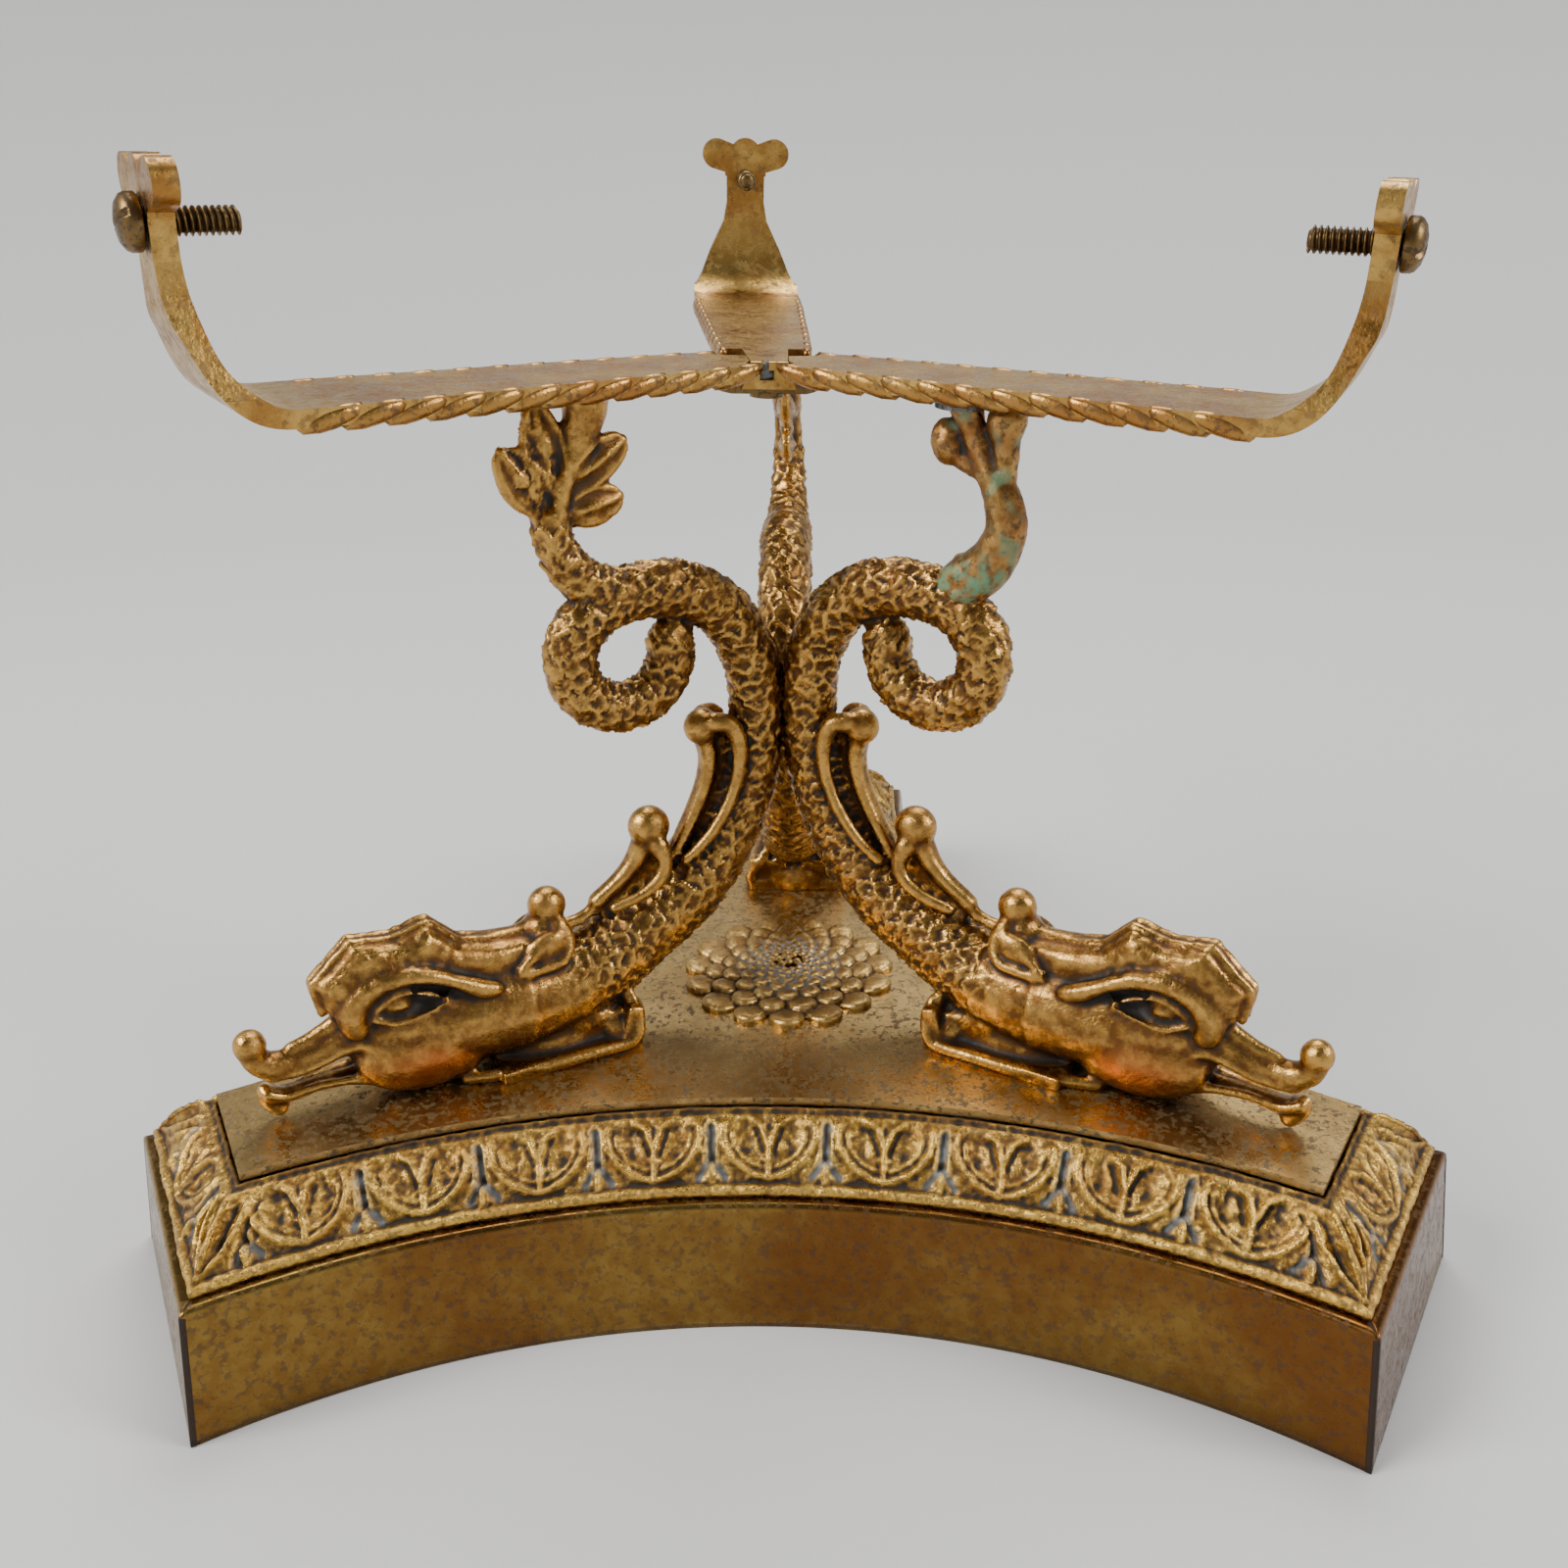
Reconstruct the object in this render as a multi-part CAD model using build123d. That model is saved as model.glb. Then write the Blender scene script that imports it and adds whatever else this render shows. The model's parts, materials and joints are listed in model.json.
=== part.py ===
from build123d import *
from math import cos, radians, sin, sqrt
import os

# Three-armed brass bowl stand: a hollow three-cornered plinth, three sea-dolphins standing on
# it on their chins, and three flat arms on their tails that grip a bowl with clamp screws.
# Millimetres, +Z up. The origin is on the stand's centre axis, at the table.

# ---- plinth: a sheet-metal box with three hollow-curved sides and three short ends
END_R = 150.0        # centre axis to an end, measured at the plinth's top edge
SIDE_R = 68.5        # centre axis to the middle of a curved side
SIDE_ARC_R = 207.0   # radius of a curved side
PLINTH_H = 30.0
FLARE = 3.5          # how far the plinth's foot stands out beyond its top edge
SHEET = 1.5
SHELF = 19.0         # turned-in top edge that carries the moulding
END_ANGLES = {"left": 210, "right": 330, "back": 90}
SIDE_ANGLES = {"front": 270, "right": 30, "left": 150}

# ---- leaf moulding: a sloping band between the plinth and the top plate
MOULD_FOOT = 2.0     # inset of its foot from the plinth's edge
MOULD_TOP = 15.0     # inset of its top edge
MOULD_WALL = 3.4     # measured level, so about 2.4 square to the slope
MOULD_H = 14.0
MOULD_BEAD = 1.4     # bead along the foot

# ---- top plate and rosette
PLATE_INSET = 16.0
PLATE_T = 1.8
PLATE_Z = PLINTH_H + MOULD_H
PLATE_TOP = PLATE_Z + PLATE_T
ROSETTE_R = 25.5
ROSETTE_RIM = 1.6
ROSETTE_DOME = 5.0
STUD_R = 2.0
STUD_LEN = 9.0
NUT_AF = 7.0
NUT_H = 3.2

# ---- dolphins: one casting, three times. Places are (distance from the axis, height).
BODY_T = 12.0
BODY_GAP = 0.15      # between the bodies where they lean together on the axis
HEAD_T = 21.0
FIN_T = 6.0
FOOT_HALF = 13.0
FOOT_SPAN = (44.0, 72.0)
FOOT_TOP = 53.0
DOLPHIN_SCREW_R = 2.0
DOLPHIN_SCREW_IN = 6.0           # length of thread in the casting
WASHER_T = 0.8
DOLPHIN_SCREW_AT = (51.0, 66.0)
LOOP_AT = (38.5, 135.5)
LOOP_R = 11.7        # centre line of the tail's loop
LOOP_TUBE = 5.7
TAIL_T = 5.0
TAIL_BOSS_AT = 43.0
TAIL_BOSS_R = 3.4
SOLDER_H = 2.2
SOLDER_R = 5.2

# ---- the arms and their hub, which sit turned and leaning on the tails after a repair
HUB_AT = (-1.9, 0.3, 194.6)      # top face of the hub, at its centre
HUB_TURN = 6.25
HUB_LEAN = (1.29, 2.36)          # about X, then about Y
ARM_T = 3.2
ARM_ROOT_HALF = 9.2
ARM_HALF = 14.2
ARM_BEND_START = 101.0
ARM_BEND_TOP = 23.5     # height where the upturned part runs straight
ARM_UPRIGHT_R = 117.7            # middle of the upturned part
ARM_UPRIGHT_T = 4.2
TAIL_TOP = HUB_AT[2] - ARM_T     # underside of the arms at the hub
SCREW_UP = 28.7                  # clamp screw above the arm's top face
LOBE_UP = 35.0
LOBE_OUT = 7.8
LOBE_R = 3.8
TONGUE_HALF = 3.8                # root of the back arm, which crosses the hub
TONGUE_END = -8.0
ROOT_R = 9.5                     # where the straight part of an arm starts
DISC_R = 11.1
DISC_T = 3.3
RIVET_R = 2.0

# ---- clamp screws, 3/16 inch with a cheese head
SCREW_R = 2.38
SCREW_HOLE_R = 2.43
SCREW_IN = 11.2                  # length of thread inside the arm
HEAD_R = 4.65
HEAD_H = 3.7
HEAD_GAP = 0.3
SLOT_W = 1.1
SLOT_DEPTH = 1.5


def polar(angle, radius, across=0.0, z=0.0):
    """A point at a distance from the axis along an angle, then sideways, then up."""
    c, s = cos(radians(angle)), sin(radians(angle))
    return (radius * c - across * s, radius * s + across * c, z)


def end_half(inset):
    """Half the width of an end, for the plinth's outline shrunk by an inset."""
    centre = SIDE_R + SIDE_ARC_R
    along = END_R - inset - centre * cos(radians(60))
    return centre * sin(radians(60)) - sqrt((SIDE_ARC_R + inset) ** 2 - along**2)


def outline(inset, z):
    """The whole three-cornered outline at one height, as a face."""
    half = end_half(inset)
    lines = []
    for name, angle in END_ANGLES.items():
        lines.append(Line(polar(angle, END_R - inset, -half, z), polar(angle, END_R - inset, half, z)))
    for angle in SIDE_ANGLES.values():
        a = polar(angle - 60, END_R - inset, half, z)
        b = polar(angle + 60, END_R - inset, -half, z)
        lines.append(ThreePointArc(a, polar(angle, SIDE_R - inset, 0, z), b))
    return make_face(lines)


def side_strip(angle, z, outer, inner):
    """One curved side's strip between two insets, cut off at its mitres."""
    def arc(inset):
        half = end_half(inset)
        a = polar(angle - 60, END_R - inset, half, z)
        b = polar(angle + 60, END_R - inset, -half, z)
        return a, polar(angle, SIDE_R - inset, 0, z), b
    a0, m0, b0 = arc(outer)
    a1, m1, b1 = arc(inner)
    return make_face([ThreePointArc(a0, m0, b0), Line(b0, b1), ThreePointArc(b1, m1, a1), Line(a1, a0)])


def end_strip(angle, z, outer, inner):
    """One end's strip between two insets, cut off at its mitres."""
    corners = []
    for inset, side in ((outer, -1), (outer, 1), (inner, 1), (inner, -1)):
        corners.append(polar(angle, END_R - inset, side * end_half(inset), z))
    return make_face(Polyline(*corners, close=True))


def plinth_wall(strip, angle):
    """A splayed wall with its top edge turned in as a shelf."""
    wall = loft([strip(angle, 0, -FLARE, SHEET - FLARE), strip(angle, PLINTH_H, 0, SHEET)], ruled=True)
    shelf = extrude(strip(angle, PLINTH_H - SHEET, SHEET / 2, SHELF), amount=SHEET, dir=(0, 0, 1))
    return wall + shelf


def moulding(strip, angle):
    """The sloping band under the plate, with a bead along its foot."""
    base = strip(angle, PLINTH_H, MOULD_FOOT, MOULD_FOOT + MOULD_WALL)
    low = strip(angle, PLINTH_H + MOULD_BEAD, MOULD_FOOT, MOULD_FOOT + MOULD_WALL)
    high = strip(angle, PLATE_Z, MOULD_TOP, MOULD_TOP + MOULD_WALL)
    return extrude(base, amount=MOULD_BEAD, dir=(0, 0, 1)) + loft([low, high], ruled=True)


def top_plate():
    """Flat plate with clearance holes for the rosette's stud and the dolphins' screws."""
    plate = extrude(outline(PLATE_INSET, PLATE_Z), amount=PLATE_T, dir=(0, 0, 1))
    plate -= Pos(0, 0, PLATE_Z) * Cylinder(STUD_R + 0.2, 3 * PLATE_T)
    for angle in END_ANGLES.values():
        for radius in DOLPHIN_SCREW_AT:
            plate -= Pos(*polar(angle, radius, 0, PLATE_Z)) * Cylinder(DOLPHIN_SCREW_R + 0.2, 3 * PLATE_T)
    return plate


def rosette():
    """A domed flower with its own stud, which goes down through the plate."""
    rise = ROSETTE_DOME - ROSETTE_RIM
    ball_r = (ROSETTE_R**2 + rise**2) / (2 * rise)
    blank = Pos(0, 0, ROSETTE_DOME / 2) * Cylinder(ROSETTE_R, ROSETTE_DOME)
    flower = blank & (Pos(0, 0, ROSETTE_DOME - ball_r) * Sphere(ball_r))
    stud = Pos(0, 0, 1 - STUD_LEN / 2) * Cylinder(STUD_R, STUD_LEN + 2)
    return Pos(0, 0, PLATE_TOP) * (flower + stud)


def hex_nut(at, z_top):
    """A nut hanging under the plate, with its bore."""
    body = extrude(RegularPolygon(NUT_AF / 2, 6, major_radius=False), amount=NUT_H)
    body -= Cylinder(STUD_R, 4 * NUT_H)
    return Pos(at[0], at[1], z_top - NUT_H) * body


def capsule(a, ra, b, rb):
    """The outline round two circles: a run of a body that tapers from ra to rb."""
    ends = [Pos(*a) * Circle(ra), Pos(*b) * Circle(rb)]
    return make_hull(ends[0].edges() + ends[1].edges())


def chain(stations):
    """Capsules strung along (distance, height, half width) stations."""
    shape = None
    for (x0, z0, r0), (x1, z1, r1) in zip(stations, stations[1:]):
        piece = capsule((x0, z0), r0, (x1, z1), r1)
        shape = piece if shape is None else shape + piece
    return shape


# The body from the neck, up past the axis and over to the top of the loop.
BODY = [(70, 59.5, 12.6), (58, 60, 11.6), (47, 64, 10.0), (37.5, 69, 9.2), (28.5, 74, 8.4), (20.8, 80.5, 7.7),
        (14.5, 89, 7.1), (10, 98.5, 6.7), (7.6, 109, 6.4), (7, 120, 6.3), (8.6, 131, 6.3), (13.5, 140.5, 6.2),
        (20.5, 146.3, 6.2), (29, 148.6, 6.1), (38.5, 148.2, 6.0)]
# The stem above the loop, as far as the leaf or the repair joint.
STEM = [(39.5, 148.2, 5.8), (46, 152.5, 5.0), (50.5, 158, 4.6), (52.3, 165, 4.2)]
# Leaf lobes of the flukes, each from the stem's end to (distance, height, half width).
LEAF_ROOT = (51.5, 167, 3.0)
LEAF_LOBES = [(60, 179, 2.8), (53.3, 186, 3.3), (38, 179, 3.0), (39, 169.5, 2.8)]
# The repaired tail: a plain stem with two buds.
MEND_STEM = [(46.5, 153, 5.4), (51.5, 157, 4.8), (54, 163, 4.2), (52, 172, 3.8), (47.5, 180, 3.8)]
MEND_BUDS = [((49.5, 175, 3.0), (53, 183, 4.2)), ((47.5, 179, 3.0), (41, 177.5, 3.0))]
# Scrolled fins along the back: foot, neck and ball of each.
FINS = [((18, 100, 4.0), (17.5, 113, 3.0), (20.5, 115.8, 3.8)),
        ((29, 82, 3.5), (31.5, 89, 2.4), (35.5, 94, 4.2)),
        ((54, 72, 3.5), (59, 76, 2.4), (60.5, 80, 3.8))]
# The head's outline from the throat round the crest, the snout and both jaws.
HEAD = [(68, 46), (74, 74), (83, 77.5), (87, 82.5), (103, 83.5), (111.5, 75.5), (110.5, 71.5),
        (109.5, 66.5), (115, 62.5), (121.5, 62), (125, 66.5), (129.5, 65.5), (128.5, 60.5), (122.5, 56.5),
        (112, 55.5), (105, 58), (102, 54.5), (108, 52), (119.5, 51), (126, 53.5), (128, 50.5), (123.5, 47),
        (110, 48.2), (96, 46)]


def upright_plane(angle):
    """The plane of a dolphin: X away from the stand's axis, Y up."""
    c, s = cos(radians(angle)), sin(radians(angle))
    return Plane(origin=(0, 0, 0), x_dir=(c, s, 0), z_dir=(s, -c, 0))


def slab(sketch, thickness):
    """A flat outline made into a slab, half each side of the dolphin's plane."""
    return extrude(sketch, amount=thickness / 2, both=True)


def loop_stations():
    """Stations round the tail's loop, from its top, out and down and back up."""
    stations = []
    for turn in range(90, -221, -31):
        x = LOOP_AT[0] + LOOP_R * cos(radians(turn))
        stations.append((x, LOOP_AT[1] + LOOP_R * sin(radians(turn)), LOOP_TUBE))
    return stations


def dolphin_body():
    """Everything that all three dolphins share: head, body, fins, loop and foot."""
    body = slab(chain(BODY) + chain(loop_stations()), BODY_T)
    head = slab(make_face(Polyline(*HEAD, close=True)), FIN_T)
    cheek = slab(capsule((76, 59.5), 12.5, (94, 58), 9.5), HEAD_T)
    brow = slab(capsule((88, 71), 5.5, (102, 68.5), 4.5), HEAD_T * 0.8)
    belly = slab(chain(BODY[:3]), HEAD_T * 0.85)
    fins = slab(sum((chain(fin) for fin in FINS[1:]), chain(FINS[0])), FIN_T)
    foot = Pos(sum(FOOT_SPAN) / 2, (PLATE_TOP + FOOT_TOP) / 2, 0) * Box(
        FOOT_SPAN[1] - FOOT_SPAN[0], FOOT_TOP - PLATE_TOP, 2 * FOOT_HALF)
    shape = body + head + cheek + brow + belly + fins + foot
    floor = Pos(80, PLATE_TOP - 20, 0) * Box(160, 40, 80)
    for radius in DOLPHIN_SCREW_AT:
        shape -= Pos(radius, PLATE_TOP, 0) * Rot(90, 0, 0) * Cylinder(DOLPHIN_SCREW_R, 2 * DOLPHIN_SCREW_IN)
    return shape - floor


def leaf_tail():
    """The five-lobed flukes: four lobes round a midrib that ends in the boss."""
    root = LEAF_ROOT[:2]
    flat = capsule(root, LEAF_ROOT[2], (TAIL_BOSS_AT, TAIL_TOP - 4), TAIL_BOSS_R)
    for lobe in LEAF_LOBES:
        flat += capsule(root, LEAF_ROOT[2], lobe[:2], lobe[2])
    return slab(flat, TAIL_T) + slab(chain(STEM), BODY_T * 0.75)


def mended_tail():
    """The plain tail that replaces the right dolphin's flukes, soldered on at the loop."""
    flat = chain(MEND_STEM) + capsule(MEND_STEM[-1][:2], 3.8, (TAIL_BOSS_AT, TAIL_TOP - 4), TAIL_BOSS_R)
    for foot, bud in MEND_BUDS:
        flat += capsule(foot[:2], foot[2], bud[:2], bud[2])
    return slab(flat, TAIL_T + 1.5)


def under_arm(shape):
    """Trim a tail at the underside of the leaning arms."""
    room = hub_frame() * (Pos(0, 0, -ARM_T + 50) * Box(400, 400, 100))
    return shape - room


def hub_frame():
    """Where the arms and hub stand: turned and leaning, about the hub's top face."""
    return Location(HUB_AT, (HUB_LEAN[0], HUB_LEAN[1], 0)) * Location((0, 0, 0), (0, 0, HUB_TURN))


def tail_boss(angle):
    """A round boss that meets the underside of the arm."""
    return Pos(*polar(angle, TAIL_BOSS_AT, 0, TAIL_TOP - 3)) * Cylinder(TAIL_BOSS_R, 12)


def third(angle):
    """One third of the space round the stand's axis, a hair short of its two neighbours."""
    reach = 400
    apex = polar(angle, BODY_GAP)
    sides = [polar(angle + 60, reach), polar(angle, 2 * reach), polar(angle - 60, reach)]
    return extrude(make_face(Polyline(apex, *sides, close=True)), amount=reach, dir=(0, 0, 1))


def dolphin(name):
    """One dolphin. The right one ends at its loop, where its mended tail starts."""
    angle = END_ANGLES[name]
    body = upright_plane(angle) * dolphin_body() & third(angle)
    if name == "right":
        return body - upright_plane(angle) * slab(chain(MEND_STEM[:2]), BODY_T + 2)
    return under_arm(body + upright_plane(angle) * leaf_tail() + tail_boss(angle))


def right_tail():
    """The mended tail in its place under the right arm."""
    joint = slab(chain(MEND_STEM[:2]), BODY_T)
    whole = upright_plane(END_ANGLES["right"]) * (mended_tail() + joint) + tail_boss(END_ANGLES["right"])
    return under_arm(whole)


def arm_profile():
    """The arm seen from the side: a flat run, a bend and an upright, with the top face at zero."""
    x_in, x_out = ARM_UPRIGHT_R - ARM_UPRIGHT_T / 2, ARM_UPRIGHT_R + ARM_UPRIGHT_T / 2
    top = LOBE_UP + LOBE_R + 2
    inner = Spline((x_in, ARM_BEND_TOP), (114.3, 12.5), (111.6, 5.6), (107, 1.5), (ARM_BEND_START, 0),
                   tangents=[(0, -1), (-1, 0)])
    outer = Spline((ARM_BEND_START, -ARM_T), (109, -1.9), (114.3, 2.8), (118.0, 11), (x_out, ARM_BEND_TOP),
                   tangents=[(1, 0), (0, 1)])
    upright = Polyline((x_out, ARM_BEND_TOP), (x_out, top), (x_in, top), (x_in, ARM_BEND_TOP))
    flat = Polyline((ARM_BEND_START, 0), (TONGUE_END, 0), (TONGUE_END, -ARM_T), (ARM_BEND_START, -ARM_T))
    return make_face([upright, inner, flat, outer])


def arm_blank():
    """An arm along +X: its side profile trimmed to its plan and to its bottle-shaped front."""
    band = extrude(Plane.XZ * arm_profile(), amount=20, both=True)
    half = [(ROOT_R - 0.5, ARM_ROOT_HALF), (15, 10.3), (35, 11.4), (63, 12.7), (91, 14.1), (104, ARM_HALF),
            (124, 13.6)]
    plan = make_face(Polyline(*half, *[(x, -y) for x, y in reversed(half)], close=True))
    flat = Pos(0, 0, -1.4) * extrude(plan, amount=3.6, both=True)
    right = [(13.6, 2), (12, 4.9), (9.6, 10.6), (5.9, 18), (5, 23), (5.1, 31)]
    bottle = make_face(Polyline(*right, *[(-x, y) for x, y in reversed(right)], close=True))
    front = bottle + Pos(0, LOBE_UP - 2) * Rectangle(11, 7) + Pos(0, LOBE_UP) * Circle(LOBE_R + 0.2)
    for side in (1, -1):
        front += capsule((0, LOBE_UP - 2.5), 3.5, (side * LOBE_OUT, LOBE_UP), LOBE_R)
    upright = Pos(ARM_UPRIGHT_R, 0, 0) * extrude(Plane.YZ * front, amount=12, both=True)
    hole = Pos(ARM_UPRIGHT_R, 0, SCREW_UP) * Rot(0, 90, 0) * Cylinder(SCREW_HOLE_R, 20)
    return (band & (flat + upright)) - hole


def tongue():
    """The back arm's root, which crosses the hub between the other two."""
    wide = TONGUE_HALF + 1.2
    points = [(TONGUE_END, -TONGUE_HALF), (ROOT_R, -wide), (ROOT_R, wide), (TONGUE_END, TONGUE_HALF)]
    blank = extrude(make_face(Polyline(*points, close=True)), amount=-ARM_T)
    return blank - Cylinder(RIVET_R, 20)


def arm(name):
    """One arm in the hub's frame. The front two butt against the back arm's root."""
    turn = END_ANGLES[name]
    if name == "back":
        return hub_frame() * (Rot(0, 0, turn) * (arm_blank() + tongue()))
    root = extrude(make_face(Polyline((2, 0), (ROOT_R, -6.2), (ROOT_R, 6.2), close=True)), amount=-ARM_T)
    away = Rot(0, 0, END_ANGLES["back"]) * tongue_clearance()
    return hub_frame() * (Rot(0, 0, turn) * (arm_blank() + root) - away)


def tongue_clearance():
    """The room that the back arm's root takes up."""
    wide = TONGUE_HALF + 1.2
    points = [(TONGUE_END - 4, -TONGUE_HALF), (ROOT_R, -wide), (2 * ROOT_R, -wide),
              (2 * ROOT_R, wide), (ROOT_R, wide), (TONGUE_END - 4, TONGUE_HALF)]
    return extrude(make_face(Polyline(*points, close=True)), amount=ARM_T, both=True)


def hub_disc():
    """Round plate under the arm roots, filed flat at the front."""
    disc = Pos(0, 0, -ARM_T - DISC_T / 2) * Cylinder(DISC_R, DISC_T)
    disc -= Cylinder(RIVET_R, 40)
    facet = Pos(0, TONGUE_END - 20, -ARM_T) * Box(40, 40, 20)
    return hub_frame() * (disc - facet)


def hub_rivet():
    """Rivet through the back arm's root and the disc, flush on top."""
    shank = Pos(0, 0, -(ARM_T + DISC_T) / 2) * Cylinder(RIVET_R, ARM_T + DISC_T)
    head = Pos(0, 0, -ARM_T - DISC_T - 0.9) * Cylinder(RIVET_R * 1.8, 1.8)
    return hub_frame() * (shank + head)


def tail_solder(tails):
    """Grey solder run round the top of each tail, under its arm."""
    below = hub_frame() * (Pos(0, 0, -ARM_T - SOLDER_H - 50) * Box(400, 400, 100))
    beads = []
    for name, tail in tails.items():
        bead = Pos(*polar(END_ANGLES[name], TAIL_BOSS_AT, 0, TAIL_TOP)) * Cylinder(SOLDER_R, 14)
        beads.append(under_arm(bead) - below - tail)
    return beads


def clamp_screw(name):
    """Slotted cheese-head screw, lying along its arm with its head outside."""
    seat = ARM_UPRIGHT_R + ARM_UPRIGHT_T / 2 + HEAD_GAP
    tip = ARM_UPRIGHT_R - ARM_UPRIGHT_T / 2 - SCREW_IN
    rim, crown = seat + HEAD_H * 0.45, seat + HEAD_H
    side = Polyline((0, tip), (SCREW_R - 0.5, tip), (SCREW_R, tip + 0.7), (SCREW_R, seat),
                    (HEAD_R, seat), (HEAD_R, rim))
    dome = ThreePointArc((HEAD_R, rim), (HEAD_R * 0.7, seat + HEAD_H * 0.87), (0, crown))
    profile = make_face([side, dome, Line((0, crown), (0, tip))])
    screw = Rot(0, 90, 0) * revolve(Plane.XZ * profile, axis=Axis.Z)
    slot = Pos(seat + HEAD_H, 0, 0) * Rot(25, 0, 0) * Box(2 * SLOT_DEPTH, 4 * HEAD_R, SLOT_W)
    return hub_frame() * (Rot(0, 0, END_ANGLES[name]) * (Pos(0, 0, SCREW_UP) * (screw - slot)))


def dolphin_screws():
    """Cheese-head screws up through the plate into each dolphin's foot."""
    screws = []
    for angle in END_ANGLES.values():
        for radius in DOLPHIN_SCREW_AT:
            low, high = PLATE_Z - WASHER_T, PLATE_TOP + DOLPHIN_SCREW_IN
            shank = Pos(0, 0, (low + high) / 2) * Cylinder(DOLPHIN_SCREW_R, high - low)
            head = Pos(0, 0, PLATE_Z - WASHER_T - 1.1) * Cylinder(1.8 * DOLPHIN_SCREW_R, 2.2)
            screws.append(Pos(*polar(angle, radius)) * (shank + head))
    return screws


def dolphin_washers():
    """A washer under each dolphin screw's head."""
    washers = []
    for angle in END_ANGLES.values():
        for radius in DOLPHIN_SCREW_AT:
            ring = Cylinder(4.6, WASHER_T) - Cylinder(DOLPHIN_SCREW_R + 0.1, 4)
            washers.append(Pos(*polar(angle, radius, 0, PLATE_Z - WASHER_T / 2)) * ring)
    return washers


def build():
    """Every piece, by name."""
    parts = {"top_plate": top_plate(), "rosette": rosette(), "rosette_nut": hex_nut((0, 0), PLATE_Z),
             "hub_disc": hub_disc(), "hub_rivet": hub_rivet(), "mended_tail_right": right_tail(),
             "dolphin_screws": Compound(dolphin_screws()), "dolphin_washers": Compound(dolphin_washers())}
    for name, angle in SIDE_ANGLES.items():
        parts[f"plinth_side_{name}"] = plinth_wall(side_strip, angle)
        parts[f"moulding_side_{name}"] = moulding(side_strip, angle)
    for name, angle in END_ANGLES.items():
        parts[f"plinth_end_{name}"] = plinth_wall(end_strip, angle)
        parts[f"moulding_end_{name}"] = moulding(end_strip, angle)
        parts[f"dolphin_{name}"] = dolphin(name)
        parts[f"arm_{name}"] = arm(name)
        parts[f"clamp_screw_{name}"] = clamp_screw(name)
    tails = {name: parts[f"dolphin_{name}"] for name in ("left", "back")}
    tails["right"] = parts["mended_tail_right"]
    parts["tail_solder"] = Compound(tail_solder(tails))
    return parts


os.makedirs("parts", exist_ok=True)
for node, shape in build().items():
    export_step(shape, f"parts/{node}.step")
    print(node, round(shape.volume), "mm3")
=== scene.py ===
# %% [markdown]
# # A three-armed brass bowl stand
# The stand is old table brass: a sheet-metal plinth, a band of leaf moulding, a plate with a
# flower on it, three cast sea-dolphins, and three arms whose clamp screws once held a bowl.
# Its CAD model comes first, as a fixed frame. Everything made here is placed from that frame.

# %% Load the fixed frame
import json
from math import atan2, cos, hypot, pi, radians, sin, sqrt

import bmesh
import bpy
import numpy as np
from mathutils import Matrix, Vector, noise


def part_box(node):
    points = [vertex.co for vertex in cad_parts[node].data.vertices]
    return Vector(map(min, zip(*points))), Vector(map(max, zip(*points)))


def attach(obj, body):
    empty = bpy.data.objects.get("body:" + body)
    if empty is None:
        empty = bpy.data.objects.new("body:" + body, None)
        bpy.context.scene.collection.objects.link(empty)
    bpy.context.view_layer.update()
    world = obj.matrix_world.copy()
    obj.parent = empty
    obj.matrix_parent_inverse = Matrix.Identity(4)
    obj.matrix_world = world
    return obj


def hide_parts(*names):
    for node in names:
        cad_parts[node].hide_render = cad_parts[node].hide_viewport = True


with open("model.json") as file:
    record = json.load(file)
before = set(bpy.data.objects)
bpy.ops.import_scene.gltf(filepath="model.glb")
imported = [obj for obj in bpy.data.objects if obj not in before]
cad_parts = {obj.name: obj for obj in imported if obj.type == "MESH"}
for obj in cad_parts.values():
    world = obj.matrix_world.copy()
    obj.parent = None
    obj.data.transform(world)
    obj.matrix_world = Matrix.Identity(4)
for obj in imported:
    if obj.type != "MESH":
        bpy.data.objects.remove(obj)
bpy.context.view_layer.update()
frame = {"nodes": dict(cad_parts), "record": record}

MM = 0.001

# %% [markdown]
# The small pieces are easier to think of in millimetres, so they are modelled in millimetres
# and shrunk to metres as the very last step. These helpers turn a bmesh into a finished piece.

# %% Helpers: from a bmesh to a finished piece
def new_object(name, mesh):
    """An object at the origin, linked to the scene."""
    thing = bpy.data.objects.new(name, mesh)
    bpy.context.scene.collection.objects.link(thing)
    return thing


def to_object(name, bm):
    """A bmesh as an object, and the bmesh is freed."""
    mesh = bpy.data.meshes.new(name)
    bm.to_mesh(mesh)
    bm.free()
    return new_object(name, mesh)


def apply_modifiers(thing):
    """Put what the modifiers made into the object's own mesh."""
    seen = thing.evaluated_get(bpy.context.evaluated_depsgraph_get())
    mesh = bpy.data.meshes.new_from_object(seen)
    thing.modifiers.clear()
    thing.data = mesh
    return thing


def fuse(thing, voxel, melt=0):
    """Melt overlapping closed shapes into one skin, then soften the joins in melt rounds."""
    skin = thing.modifiers.new("skin", "REMESH")
    skin.mode = "VOXEL"
    skin.voxel_size = voxel
    if melt:
        soft = thing.modifiers.new("soft", "SMOOTH")
        soft.factor = 0.5
        soft.iterations = melt
    return apply_modifiers(thing)


def cut_away(thing, cutter, crossing=False):
    """Take a bmesh out of an object; crossing says that the bmesh's own parts overlap."""
    tool = to_object("cutter", cutter)
    cut = thing.modifiers.new("cut", "BOOLEAN")
    cut.object, cut.operation, cut.solver = tool, "DIFFERENCE", "EXACT"
    cut.use_self = crossing
    apply_modifiers(thing)
    bpy.data.objects.remove(tool)


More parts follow.
